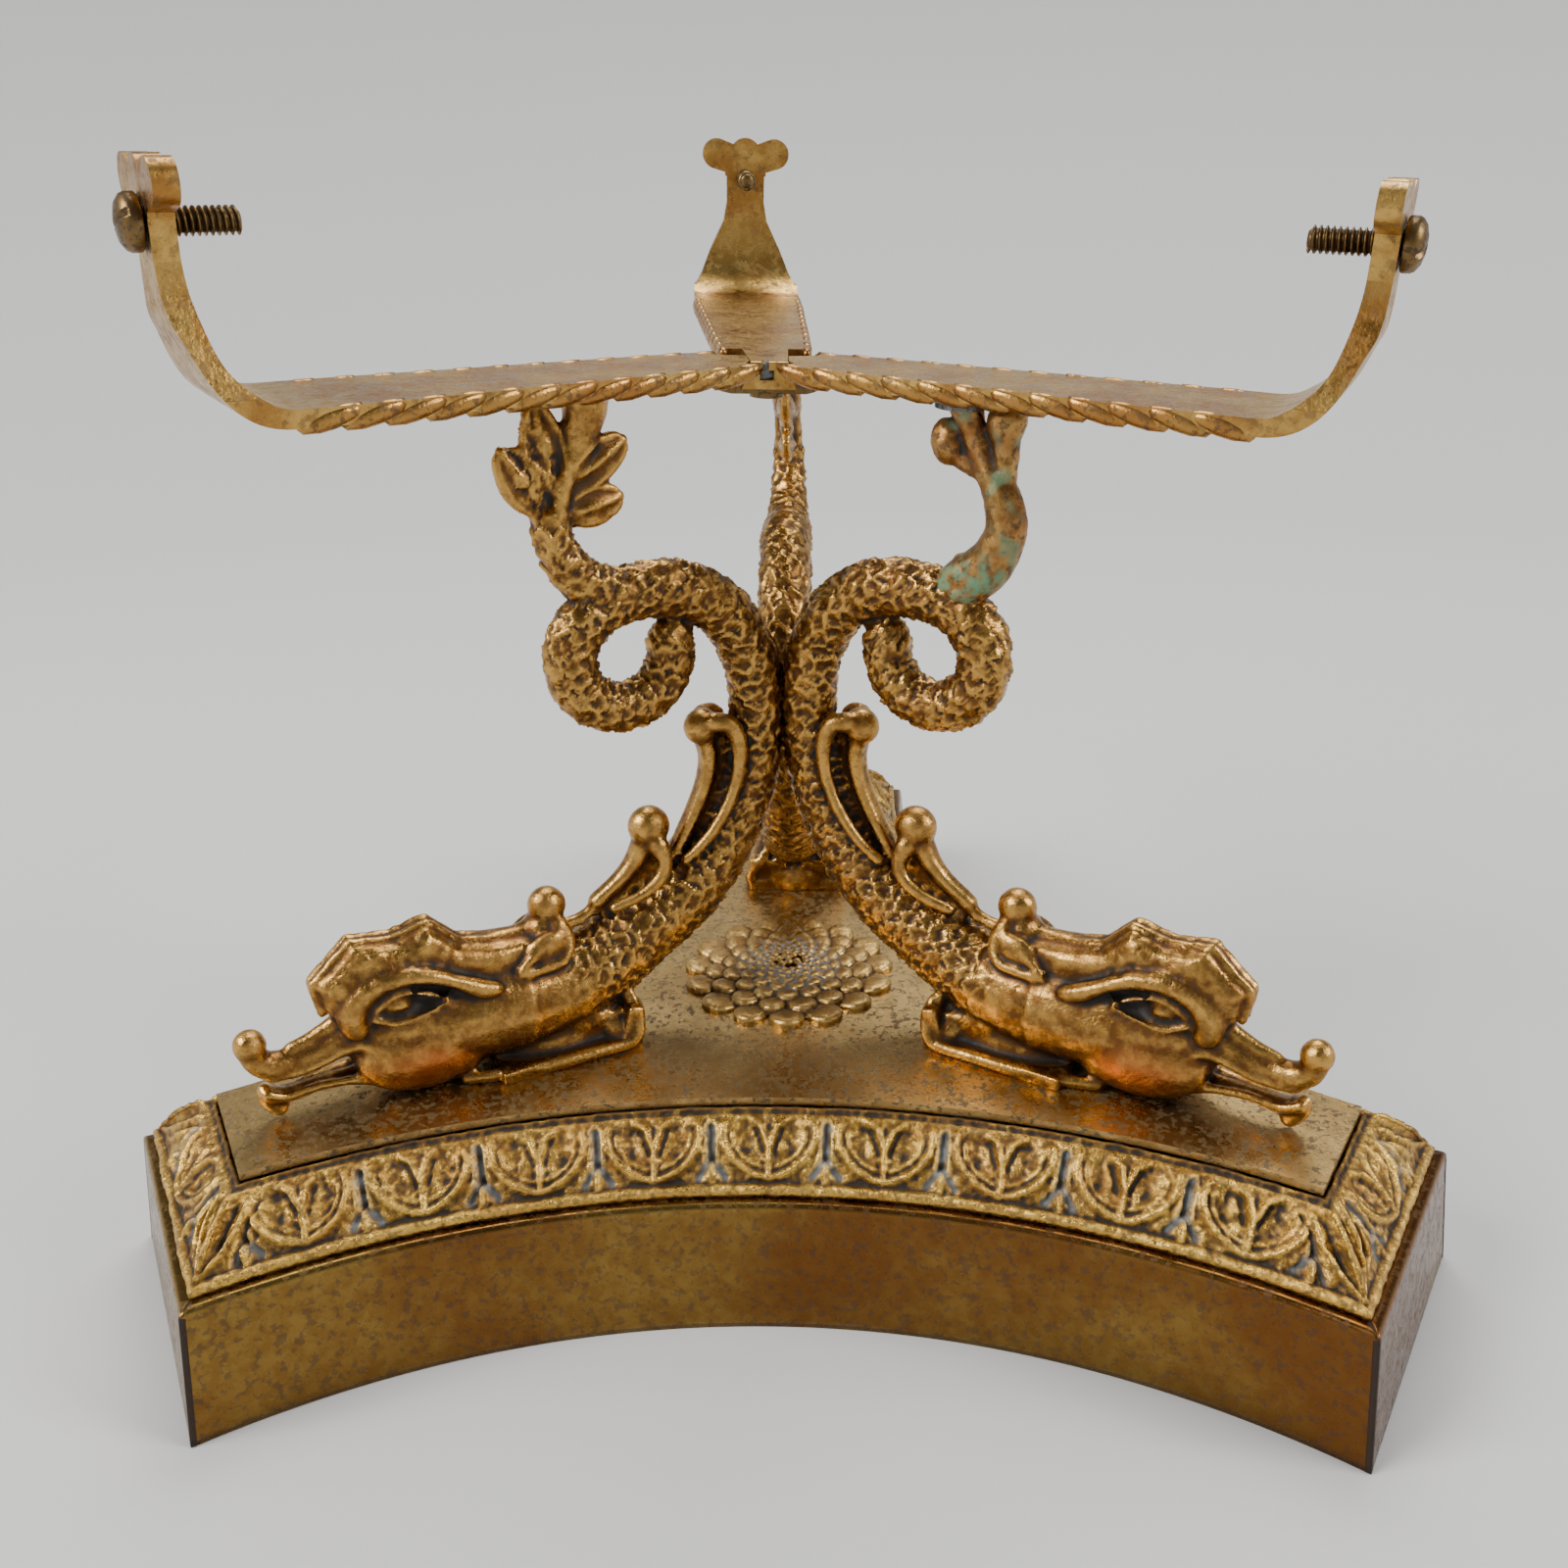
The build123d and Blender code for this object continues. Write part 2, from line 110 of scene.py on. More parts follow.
def face_up(thing):
    """Turn the faces of an open sheet over if they look down."""
    sheet = bmesh.new()
    sheet.from_mesh(thing.data)
    if sum(face.normal.z for face in sheet.faces) < 0:
        bmesh.ops.reverse_faces(sheet, faces=sheet.faces[:])
    sheet.to_mesh(thing.data)
    sheet.free()


def thicken(thing, wall):
    """Give an open sheet a wall, inwards from its face."""
    solid = thing.modifiers.new("wall", "SOLIDIFY")
    solid.thickness, solid.offset = wall, -1.0
    apply_modifiers(thing)


def points_of(thing):
    """The vertices of an object as a table of x, y, z."""
    found = np.empty(len(thing.data.vertices) * 3)
    thing.data.vertices.foreach_get("co", found)
    return found.reshape(-1, 3)


def normals_of(thing):
    """The vertex normals of an object as a table of x, y, z."""
    found = np.empty(len(thing.data.vertices) * 3)
    thing.data.vertices.foreach_get("normal", found)
    return found.reshape(-1, 3)


def set_points(thing, points):
    """Move every vertex to its row of the table."""
    thing.data.vertices.foreach_set("co", np.ascontiguousarray(points).ravel())
    thing.data.update()


def hold_height(thing, low, high=None):
    """Bring every vertex between two heights, and give back the table."""
    points = points_of(thing)
    points[:, 2] = np.clip(points[:, 2], low, high)
    set_points(thing, points)
    return points


def push(thing, heights):
    """Raise the surface along its normals, as a chasing punch or a build-up of metal would."""
    set_points(thing, points_of(thing) + normals_of(thing) * np.asarray(heights)[:, None])


def grain(points, size, seed=0.0):
    """Smooth noise from -1 to 1 at a given grain size."""
    return np.array([noise.noise(Vector((x / size + seed, y / size, z / size)))
                     for x, y, z in points])


def write_value(thing, name, values):
    """Store a number from 0 to 1 at every vertex, for the finishes to read."""
    field = thing.data.attributes.new(name, "FLOAT", "POINT")
    field.data.foreach_set("value", np.clip(values, 0, 1))


# %% [markdown]
# Old brass is dark where a cloth can't reach and bright where it can. So each modelled piece gets
# a "hollow" value at every vertex: 0.5 on open ground, near 1 in a crevice, near 0 on a ridge. It
# compares each vertex with the average of its neighbours, which is what a cloth feels.

# %% Helper: how deep each vertex lies
def mark_hollows(thing, rounds=7, gain=2.2):
    """Store the float attribute 'hollow' on an object that is still in millimetres."""
    edges = np.empty(len(thing.data.edges) * 2, dtype=np.int64)
    thing.data.edges.foreach_get("vertices", edges)
    a, b = edges.reshape(-1, 2).T
    count = len(thing.data.vertices)
    links = np.maximum(np.bincount(a, minlength=count) + np.bincount(b, minlength=count), 1)
    start = points_of(thing)
    soft = start.copy()
    for _ in range(rounds):
        total = np.stack([np.bincount(a, soft[b, k], count) + np.bincount(b, soft[a, k], count)
                          for k in range(3)], axis=1)
        soft = total / links[:, None]
    depth = ((soft - start) * normals_of(thing)).sum(axis=1)
    value = np.clip(0.5 + gain * depth, 0, 1)
    write_value(thing, "hollow", value)
    return value


def settle(thing, finish, body, stands_for=()):
    """Shrink it to metres, tie it to its body, and hide the CAD nodes that it stands for."""
    thing.data.transform(Matrix.Scale(MM, 4))
    thing.data.materials.clear()
    thing.data.materials.append(finish)
    thing.data.shade_smooth()
    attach(thing, body)
    if stands_for:
        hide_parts(*stands_for)
    print(thing.name, len(thing.data.polygons), "faces")
    return thing


def finish_piece(thing, finish, body, stands_for=(), gain=2.2, stain=None):
    """Weather a piece by its hollows, then settle it."""
    mark_hollows(thing, gain=gain)
    if stain is not None:
        write_value(thing, "stain", stain)
    return settle(thing, finish, body, stands_for)


# %% Helpers: the shapes that castings are built from
def join(bm, part):
    """Put a small bmesh into a larger one, and free the small one."""
    mesh = bpy.data.meshes.new("part")
    part.to_mesh(mesh)
    part.free()
    bm.from_mesh(mesh)
    bpy.data.meshes.remove(mesh)


def rod(bm, stations, sides=14):
    """A round rod through stations (x, y, z, radius), as cones with a ball at each joint."""
    part = bmesh.new()
    for x, y, z, radius in stations:
        bmesh.ops.create_icosphere(part, subdivisions=2 if radius > 2 else 1, radius=radius,
                                   matrix=Matrix.Translation((x, y, z)))
    for (x0, y0, z0, r0), (x1, y1, z1, r1) in zip(stations, stations[1:]):
        run = Vector((x1 - x0, y1 - y0, z1 - z0))
        if run.length < 1e-4:
            continue
        turn = run.to_track_quat("Z", "Y").to_matrix().to_4x4()
        middle = Matrix.Translation(Vector((x0, y0, z0)) + run / 2)
        bmesh.ops.create_cone(part, cap_ends=True, segments=sides, radius1=r0, radius2=r1,
                              depth=run.length, matrix=middle @ turn)
    join(bm, part)


def flow(stations, step=1.5):
    """More stations along a smooth line through the given ones."""
    pts = np.array(stations, dtype=float)
    pts = np.vstack([2 * pts[0] - pts[1], pts, 2 * pts[-1] - pts[-2]])
    out = []
    for p0, p1, p2, p3 in zip(pts, pts[1:], pts[2:], pts[3:]):
        parts = max(1, int(np.linalg.norm((p2 - p1)[:3]) / step))
        for t in np.arange(parts) / parts:
            out.append(0.5 * (2 * p1 + (p2 - p0) * t
                              + (2 * p0 - 5 * p1 + 4 * p2 - p3) * t**2
                              + (3 * p1 - p0 - 3 * p2 + p3) * t**3))
    out.append(pts[-2])
    return [tuple(p) for p in out]


def tube(bm, stations, step=1.5, sides=14):
    """A rod along the smooth line through stations."""
    rod(bm, flow(stations, step), sides)


def tubes(bm, stations, step=1.5, sides=14):
    """The same tube on both sides of the upright plane."""
    for side in (1, -1):
        tube(bm, [(x, side * y, z, radius) for x, y, z, radius in stations], step, sides)


def placed(centre, size, turn=0.0, axis="Y"):
    """The matrix that sizes a shape, turns it by degrees about an axis and puts it in place."""
    return (Matrix.Translation(centre) @ Matrix.Rotation(radians(turn), 4, axis)
            @ Matrix.Diagonal((*size, 1)))


def blob(bm, centre, halves, turn=0.0):
    """An egg with half lengths along x, y and z, turned about y by degrees."""
    part = bmesh.new()
    bmesh.ops.create_icosphere(part, subdivisions=3, radius=1.0,
                               matrix=placed(centre, halves, turn))
    join(bm, part)


def blobs(bm, centre, halves, turn=0.0):
    """The same egg on both sides of the upright plane."""
    x, y, z = centre
    for side in (1, -1):
        blob(bm, (x, side * y, z), halves, turn)


def slab(bm, centre, size, turn=0.0, axis="Y"):
    """A block with these lengths along x, y and z, turned about an axis by degrees."""
    part = bmesh.new()
    bmesh.ops.create_cube(part, size=1.0, matrix=placed(centre, size, turn, axis))
    join(bm, part)


def plank(corners, run):
    """A flat outline pushed along a run into a solid."""
    bm = bmesh.new()
    bm.faces.new([bm.verts.new(corner) for corner in corners])
    wall = bmesh.ops.extrude_face_region(bm, geom=bm.faces[:])
    bmesh.ops.translate(bm, vec=run,
                        verts=[v for v in wall["geom"] if isinstance(v, bmesh.types.BMVert)])
    bmesh.ops.recalc_face_normals(bm, faces=bm.faces[:])
    return bm


def lathe(line, steps):
    """A line of (distance, height) spun round the z axis into a closed shape."""
    bm = bmesh.new()
    verts = [bm.verts.new((x, 0, z)) for x, z in line]
    edges = [bm.edges.new(pair) for pair in zip(verts, verts[1:])]
    bmesh.ops.spin(bm, geom=verts + edges, cent=(0, 0, 0), axis=(0, 0, 1), angle=2 * pi,
                   steps=steps, use_merge=True)
    bmesh.ops.remove_doubles(bm, verts=bm.verts[:], dist=0.0005)
    bmesh.ops.recalc_face_normals(bm, faces=bm.faces[:])
    return bm


# %% [markdown]
# ## Finishes
# The whole stand is brass, but each part has aged in its own way. Every finish starts from the
# same idea: a worn, golden metal on the high places, brown tarnish over most of it, and dull,
# nearly black dirt in the hollows. Noise at real sizes in millimetres breaks the tarnish up.

# %% Helpers for material nodes
def colour(code):
    """An sRGB hex colour as the linear values that the nodes use."""
    parts = [int(code[i:i + 2], 16) / 255 for i in (0, 2, 4)]
    return [c / 12.92 if c <= 0.04045 else ((c + 0.055) / 1.055) ** 2.4 for c in parts] + [1.0]


def add(tree, kind, inputs=None, out=0, **settings):
    """Add a node, set it up, feed its inputs, and give back one of its outputs."""
    node = tree.nodes.new("ShaderNode" + kind)
    for key, value in settings.items():
        setattr(node, key, value)
    for key, value in (inputs or {}).items():
        if isinstance(value, bpy.types.NodeSocket):
            tree.links.new(value, node.inputs[key])
        else:
            node.inputs[key].default_value = value
    return node.outputs[out] if len(node.outputs) else node


def patches(tree, place, size_mm, low, high, detail=4.0):
    """Cloudy patches of a real size: 0 where the noise is under low, 1 where it is over high."""
    cloud = add(tree, "TexNoise", {"Vector": place, "Scale": 1 / (size_mm * MM), "Detail": detail,
                                   "Roughness": 0.62})
    return add(tree, "MapRange", {"Value": cloud, "From Min": low, "From Max": high},
               interpolation_type="SMOOTHSTEP")


def aged_brass(name, bright, brown, dirt, copper, wear, rough, speck_mm=0.6, speck_share=0.6,
               bump_mm=0.1, copper_share=0.4, tint="8a9096", tint_metal=0.0, blotch_mm=15,
               flat=False):
    """Worn, tarnished brass. wear is how much bright metal shows, rough its polished and dull
    roughness. tint colours what the stain value marks, and flat is for sheets with no hollows."""
    mat = bpy.data.materials.new(name)
    mat.use_nodes = True
    tree = mat.node_tree
    tree.nodes.clear()
    place = add(tree, "TexCoord", out=3)
    hollow = add(tree, "Attribute", out=2, attribute_name="hollow")
    stain = add(tree, "Attribute", out=2, attribute_name="stain")
    blotch = patches(tree, place, blotch_mm, 0.40, 0.62, 5)
    cloud = patches(tree, place, 3.4, 0.34, 0.66, 5)
    fine = patches(tree, place, speck_mm * 1.5, 0.25, 0.75)
    speck = patches(tree, place, speck_mm * 2.6, 0.52, 0.60, 6)
    # Golden where it is rubbed, brown where it isn't; a flat sheet has no hollows to read.
    lift, deep = 0.5, 0.0
    if not flat:
        lift = add(tree, "Math", {0: hollow, 1: -2.4, 2: 1.2}, operation="MULTIPLY_ADD")
        deep = add(tree, "MapRange", {"Value": hollow, "From Min": 0.54, "From Max": 0.85})
    rub = add(tree, "Math", {0: cloud, 1: 0.7, 2: lift}, operation="MULTIPLY_ADD")
    rub = add(tree, "Math", {0: rub, 1: wear - 0.85}, operation="ADD", use_clamp=True)
    metal = add(tree, "Mix", {0: rub, 6: colour(brown), 7: colour(bright)}, 2, data_type="RGBA")
    warm = add(tree, "Math", {0: blotch, 1: copper_share}, operation="MULTIPLY")
    metal = add(tree, "Mix", {0: warm, 6: metal, 7: colour(copper)}, 2, data_type="RGBA")
    # Dirt lies in the hollows and in scattered specks, and it is dull and not metallic.
    specks = add(tree, "Math", {0: speck, 1: speck_share}, operation="MULTIPLY")
    dark = add(tree, "Math", {0: deep, 1: specks}, operation="MAXIMUM")
    metal = add(tree, "Mix", {0: dark, 6: metal, 7: colour(dirt)}, 2, data_type="RGBA")
    metal = add(tree, "Mix", {0: stain, 6: metal, 7: colour(tint)}, 2, data_type="RGBA")
    metallic = add(tree, "Math", {0: dark, 1: -0.7, 2: 1.0}, operation="MULTIPLY_ADD")
    metallic = add(tree, "Mix", {0: stain, 2: metallic, 3: tint_metal})
    polished, dull = rough
    gloss = add(tree, "Math", {0: cloud, 1: polished - dull, 2: dull}, operation="MULTIPLY_ADD")
    gloss = add(tree, "Math", {0: dark, 1: 0.35, 2: gloss}, operation="MULTIPLY_ADD",
                use_clamp=True)
    gloss = add(tree, "Mix", {0: stain, 2: gloss, 3: 0.2 if tint_metal else 0.75})
    normal = add(tree, "Bump", {"Strength": 0.6, "Distance": bump_mm * MM, "Height": fine})
    shader = add(tree, "BsdfPrincipled", {"Base Color": metal, "Metallic": metallic,
                                          "Roughness": gloss, "Normal": normal})
    add(tree, "OutputMaterial", {"Surface": shader})
    return mat


# %% [markdown]
# Cast and chased brass is bright on its high points and almost black between them. A reddish
# cast shows where zinc has leached out of the surface and left copper behind. Sheet brass is
# even, with a fine mottle, and the plate is given paler colours than the plinth.

# %% The finishes: bright metal, brown tarnish, dirt, and the copper that shows through
CAST = aged_brass("cast_brass_chased_and_tarnished", "bd924c", "6a4823", "1e150b", "8c542b",
                  wear=0.8, rough=(0.17, 0.36), speck_share=0.3, copper_share=0.18,
                  tint="b0602e", tint_metal=1.0)
MOULD = aged_brass("stamped_brass_leaf_moulding", "d0a852", "87642a", "2a1e10", "84492a",
                   wear=0.9, rough=(0.2, 0.42), bump_mm=0.2, copper_share=0.25, tint="8b9292")
SHEET = aged_brass("rolled_brass_sheet_mottled", "8f733b", "7b5c2d", "2a1a0c", "64391a",
                   wear=0.75, rough=(0.2, 0.3), speck_mm=0.7, speck_share=0.45, bump_mm=0.02,
                   copper_share=0.75, blotch_mm=90)
PLATE = aged_brass("rolled_brass_plate_speckled", "c6a66c", "967640", "372a1a", "73542f",
                   wear=0.9, rough=(0.24, 0.38), speck_share=0.8, bump_mm=0.05, blotch_mm=30,
                   flat=True)
PRESSED = aged_brass("pressed_brass_flower_dulled", "c2a05e", "856536", "2a2012", "73502c",
                     wear=0.9, rough=(0.26, 0.45), speck_share=0.4, copper_share=0.3)
ARM = aged_brass("filed_brass_worn_satin", "c09a54", "805c2b", "2b1d10", "8f5a28",
                 wear=0.85, rough=(0.24, 0.38), speck_mm=0.8, speck_share=0.45, bump_mm=0.06,
                 copper_share=0.65, flat=True)
ROPE = aged_brass("filed_brass_rope_edge", "a67d42", "64431f", "20160d", "8d5228",
                  wear=0.7, rough=(0.22, 0.4), bump_mm=0.06)
BRONZE = aged_brass("turned_brass_screw_dark_patina", "77603c", "4a3a26", "14100b", "4b3320",
                    wear=0.55, rough=(0.3, 0.45), speck_mm=0.4, bump_mm=0.03)
MENDED = aged_brass("recast_brass_reddened", "a9864c", "6e4c27", "221910", "8a502c",
                    wear=0.7, rough=(0.26, 0.45), bump_mm=0.08, copper_share=0.45, tint="5f8a68")
SOLDER = aged_brass("soft_solder_dulled", "7d7f7e", "5f605e", "2b2b2a", "77716a",
                    wear=0.5, rough=(0.4, 0.6), copper_share=0.3, flat=True)
STEEL = aged_brass("plain_steel_fixings", "8a8a88", "5e5c58", "2a2623", "6b4c35",
                   wear=0.5, rough=(0.35, 0.5), bump_mm=0.03, flat=True)
print(len(bpy.data.materials), "materials, finishes included")

# %% [markdown]
# ## The camera
# It stands in front of the plinth's curved side, a little above the arms, and looks down.

# %% Camera
CAMERA_AT = (0.0164, -0.3174, 0.2353)
CAMERA_TURN, CAMERA_TILT, CAMERA_ROLL = 2.99, -23.52, -1.16
FILM_MM, LENS_MM = 36.0, 33.82
eye = bpy.data.cameras.new("camera")
eye.sensor_width = FILM_MM
eye.lens = LENS_MM
eye.clip_start = 0.01
camera = bpy.data.objects.new("camera", eye)
bpy.context.scene.collection.objects.link(camera)
camera.matrix_world = (Matrix.Translation(CAMERA_AT) @ Matrix.Rotation(radians(CAMERA_TURN), 4, "Z")
                       @ Matrix.Rotation(radians(90 + CAMERA_TILT), 4, "X")
                       @ Matrix.Rotation(radians(CAMERA_ROLL), 4, "Z"))
bpy.context.scene.camera = camera
print("camera at", CAMERA_AT, "with a lens of", LENS_MM, "mm")

# %% [markdown]
# ## Measures taken from the frame
# The arms sit turned and leaning on the dolphins' tails, so they get a frame of their own: its
# up direction is the bowl seat's, and its origin is the middle of the hub's top face.

# %% Measures from the frame
ENDS = {"left": 210.0, "right": 330.0, "back": 90.0}
SIDES = {"front": 270.0, "right": 30.0, "left": 150.0}
MOUNTS = {m["name"]: m for m in frame["record"]["mounts"]}
AXES = {j["name"]: Vector(j["axis"]) for j in frame["record"]["behaviour"]["joints"]}
PLATE_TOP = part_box("top_plate")[1][2] / MM
PLATE_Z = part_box("top_plate")[0][2] / MM
PLINTH_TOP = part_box("plinth_end_back")[1][2] / MM
SCREW_UP = 28.7
UP = Vector(MOUNTS["bowl_seat"]["axis"])
HUB = Vector(MOUNTS["bowl_clamp"]["pos_m"]) / MM - UP * SCREW_UP
ARM_UNDERSIDE = 3.25


def arm_matrix(name):
    """Takes x along an arm, z up from its top face, to its place on the stand."""
    along = AXES[f"clamp_screw_{name}_travel"].normalized()
    across = UP.cross(along)
    turn = Matrix((along, across, UP)).transposed().to_4x4()
    return Matrix.Translation(HUB) @ turn


def end_matrix(name):
    """Takes x along an end's direction, in the upright plane of its dolphin."""
    return Matrix.Rotation(radians(ENDS[name]), 4, "Z")


def trim_under_arms(thing):
    """Bring what would stand higher than the arms' undersides down to them."""
    points = points_of(thing)
    over = (points - np.array(HUB)) @ np.array(UP) + ARM_UNDERSIDE
    set_points(thing, points - np.clip(over, 0, None)[:, None] * np.array(UP))


print("plate top", round(PLATE_TOP, 2), "hub", [round(v, 2) for v in HUB])

# %% [markdown]
# ## The dolphins
# Each is one casting: a head resting on its chin, a body that climbs to the middle and curls
# over into a loop, and a tail of leaf lobes. A caster would carve it in wax. Here rods and
# eggs are set along its centre line, then melted into one skin by a voxel remesh, which blends
# the joins as wax does. Stations are (distance from the axis, sideways, height, radius).

# %% The body's centre line
BODY = [(70, 0, 59.5, 12.0), (58, 0, 60, 11.2), (47, 0, 64, 9.8), (37.5, 0, 69, 9.0),
        (28.5, 0, 74, 8.3), (20.8, 0, 80.5, 7.6), (14.5, 0, 89, 7.0), (10, 0, 98.5, 6.7),
        (7.6, 0, 109, 6.4), (7, 0, 120, 6.3), (8.6, 0, 131, 6.3), (13.5, 0, 140.5, 6.3),
        (20.5, 0, 146.3, 6.3), (29, 0, 148.8, 6.3), (38.5, 0, 148.2, 6.0)]
LOOP_AT, LOOP_R, LOOP_TUBE = (38.5, 135.5), 11.7, 5.8
for turn in range(55, -225, -35):
    BODY.append((LOOP_AT[0] + LOOP_R * cos(radians(turn)), 0,
                 LOOP_AT[1] + LOOP_R * sin(radians(turn)), LOOP_TUBE + turn / 360))
STEM = [(37, 0, 148.4, 5.6), (43, 0, 150.8, 5.3), (47.6, 0, 154.5, 4.9), (51, 0, 160, 4.4),
        (52.3, 0, 166, 4.0)]
PATH = np.array(flow(BODY, 0.6) + flow(STEM, 0.6))
STEPS = np.linalg.norm(np.diff(PATH[:, :3], axis=0), axis=1)
PATH_LENGTH = np.concatenate([[0], np.cumsum(STEPS)])
BELLY = 0.93
print("body and stem", round(PATH_LENGTH[-1]), "mm long")

# %% Body, neck and stem as rods
def add_body(bm, with_leaf):
    """The long body, and the stem if it carries a leaf; both are deeper than they are wide."""
    tube(bm, BODY, 2.0, 20)
    if with_leaf:
        tube(bm, STEM, 2.0)
    bmesh.ops.scale(bm, vec=(1, BELLY, 1), verts=bm.verts[:])


# %% [markdown]
# Three scrolled fins stand along the back. Each is a raised edge that ends in a ball, with a
# thin web between it and the body, so a dark hollow is left behind the edge.

# %% The scrolled fins: the edge by the body, the free edge, and the ball with its neck
FINS = [
    ([(19, 3.0, 117.2, 2.4), (15.6, 4.6, 116.4, 2.2), (13.8, 5.2, 111, 1.9), (14.6, 5.4, 104, 1.6),
      (17.6, 5.4, 97, 1.5), (22.5, 5.2, 90.5, 1.4), (28, 4.2, 85.5, 1.3)],
     [(20.4, 0.9, 112.6, 2.0), (19.6, 0.9, 108, 1.9), (20.8, 0.9, 102, 1.7), (24, 0.9, 95, 1.6),
      (28.8, 0.9, 86.5, 1.5)],
     (20.6, 0, 115.6, 4.3)),
    ([(34.2, 3.4, 90.6, 2.6), (33.2, 4.8, 86.8, 1.9), (35, 5.4, 83, 1.6), (40, 5.2, 80, 1.4),
      (46, 4.2, 78, 1.3)],
     [(36.8, 0.6, 90, 2.5), (39.2, 0.6, 86.2, 2.0), (43, 0.6, 82.5, 1.7), (49, 0.6, 78.5, 1.6)],
     (34.8, 0, 94.2, 4.9)),
    ([(59, 3.2, 77, 2.4), (57.6, 5.2, 73.5, 1.8), (60, 7.6, 70.0, 1.2), (69.5, 7.8, 69.6, 1.0),
      (64, 6.4, 74.0, 1.1)],
     [(62.4, 0.6, 77, 2.4), (66.5, 0.6, 75.6, 1.9), (73, 0.6, 76, 1.6)],
     (60.2, 0, 80.8, 4.4)),
]
BACK_RIDGE = [
    [(80, 0, 76.5, 1.6), (72, 0, 76, 1.5), (64, 0, 75.6, 1.5)],
    [(57, 0, 74.5, 1.6), (52, 0, 75.5, 1.5), (47, 0, 78.5, 1.5)],
    [(36, 0, 84.5, 1.6), (32, 0, 84.8, 1.5), (28, 0, 87, 1.5)],
]
CLIMB = PATH[:150]


def add_fins(bm):
    """Both edges, the ball and the web of each fin, and the low ridge between fins."""
    for near, free, (bx, by, bz, ball) in FINS:
        blob(bm, (bx, by, bz), (ball, ball * 0.92, ball))
        tubes(bm, near, 1.2, 12)
        tubes(bm, free, 1.2, 12)
        middle = (np.array(free[0]) + near[0]) / 2
        rod(bm, [(bx, 0, bz, ball * 0.8), (middle[0], 0, middle[2], 3.0)])
        for x, _, z, _ in flow(free, 1.2):
            close = CLIMB[np.argmin(np.hypot(CLIMB[:, 0] - x, CLIMB[:, 2] - z))]
            rod(bm, [(x, 0, z, 1.2), (close[0], 0, close[2], 1.6)], 10)
    blob(bm, (62.0, 0, 75.0), (4.4, 5.0, 5.0))
    blobs(bm, (63.0, 5.6, 72.8), (5.8, 2.0, 3.8), 24)
    for ridge in BACK_RIDGE:
        tube(bm, ridge, 1.5, 12)


print(len(FINS), "fins on each dolphin")

# %% [markdown]
# The head has a smooth round cheek, a heavy brow over a sunk eye, a scalloped crest, and an open
# mouth whose upper lip ends in a ball and whose lower lip curls down.

# %% The head
CREST = [(60, 69), (63, 75.8), (74, 76.8), (81, 78.5), (87.2, 84.6), (95, 82.6), (103.8, 84.0),
         (108.5, 79.5), (112.4, 76.2), (111.2, 69), (100, 66)]
CREST_MIDDLE, CREST_INNER = (90, 70), 0.6
# On the upright plane, as (step, sides round it, stations): neck, snout, bridge, lips' ends, jaw.
HEAD_MIDDLE = [
    (2.5, 20, [(68, 0, 59.8, 11.9), (76, 0, 60, 11.6), (86, 0, 59.5, 11.0)]),
    (1.5, 14, [(98, 0, 63, 7.2), (105, 0, 62, 4.9), (111, 0, 60, 3.7), (117, 0, 58.6, 3.1),
               (123, 0, 58, 2.6)]),
    (1.5, 14, [(104, 0, 67, 3.0), (108.5, 0, 65, 2.3), (113, 0, 63, 1.9), (119, 0, 61.2, 1.7)]),
    (1.0, 16, [(118, 0, 58.6, 3.0), (122.5, 0, 58.8, 3.2), (125.4, 0, 60.6, 2.9),
               (126.2, 0, 63.0, 3.0)]),
    (1.4, 16, [(95, 0, 51, 5.2), (101, 0, 50.6, 3.4), (108, 0, 51.3, 2.1), (115, 0, 51.4, 1.8),
               (120.5, 0, 50.8, 1.9), (124.6, 0, 52.4, 1.9)]),
    (1.0, 14, [(125.2, 0, 53.6, 1.7), (125.0, 0, 51.4, 1.8), (123.8, 0, 49.4, 1.9),
               (122.4, 0, 48.0, 1.9)]),
]
# On both sides: upper lip, lower lip, brow, and the two lids of the eye.
HEAD_PAIRS = [
    (1.0, 12, [(123.5, 1.6, 57, 1.3), (117, 2.5, 57.2, 1.2), (111, 3.3, 59, 1.2),
               (106.5, 4.2, 60.6, 1.2), (103, 5.4, 60.2, 1.2), (101.3, 6.2, 57, 1.2),
               (101.0, 6.4, 52.5, 1.3)]),
    (1.2, 12, [(101, 5.6, 51.2, 1.3), (107, 3.6, 52.2, 1.1), (115, 2.3, 52.2, 1.0),
               (121, 1.8, 51.4, 1.1), (125, 1.8, 53.2, 1.2)]),
    (1.4, 14, [(105.2, 4.4, 65.6, 3.2), (105.6, 4.6, 69.0, 3.5), (102.8, 5.2, 73, 3.0),
               (97, 6.4, 75.4, 2.3), (90, 7.6, 75.0, 2.0), (84, 8.6, 72.2, 1.9),
               (79.0, 9.2, 69.6, 2.2), (75.5, 9.4, 68.6, 1.6)]),
    (1.0, 10, [(101, 6.0, 68.4, 0.8), (97, 7.4, 71.6, 0.8), (91.5, 8.0, 71.2, 0.8),
               (86, 8.6, 69, 0.8)]),
    (1.0, 10, [(101.2, 6.2, 66.8, 0.9), (97, 7.6, 65.6, 0.9), (91.5, 8.6, 66.8, 0.9),
               (86, 8.9, 68.3, 0.8)]),
]


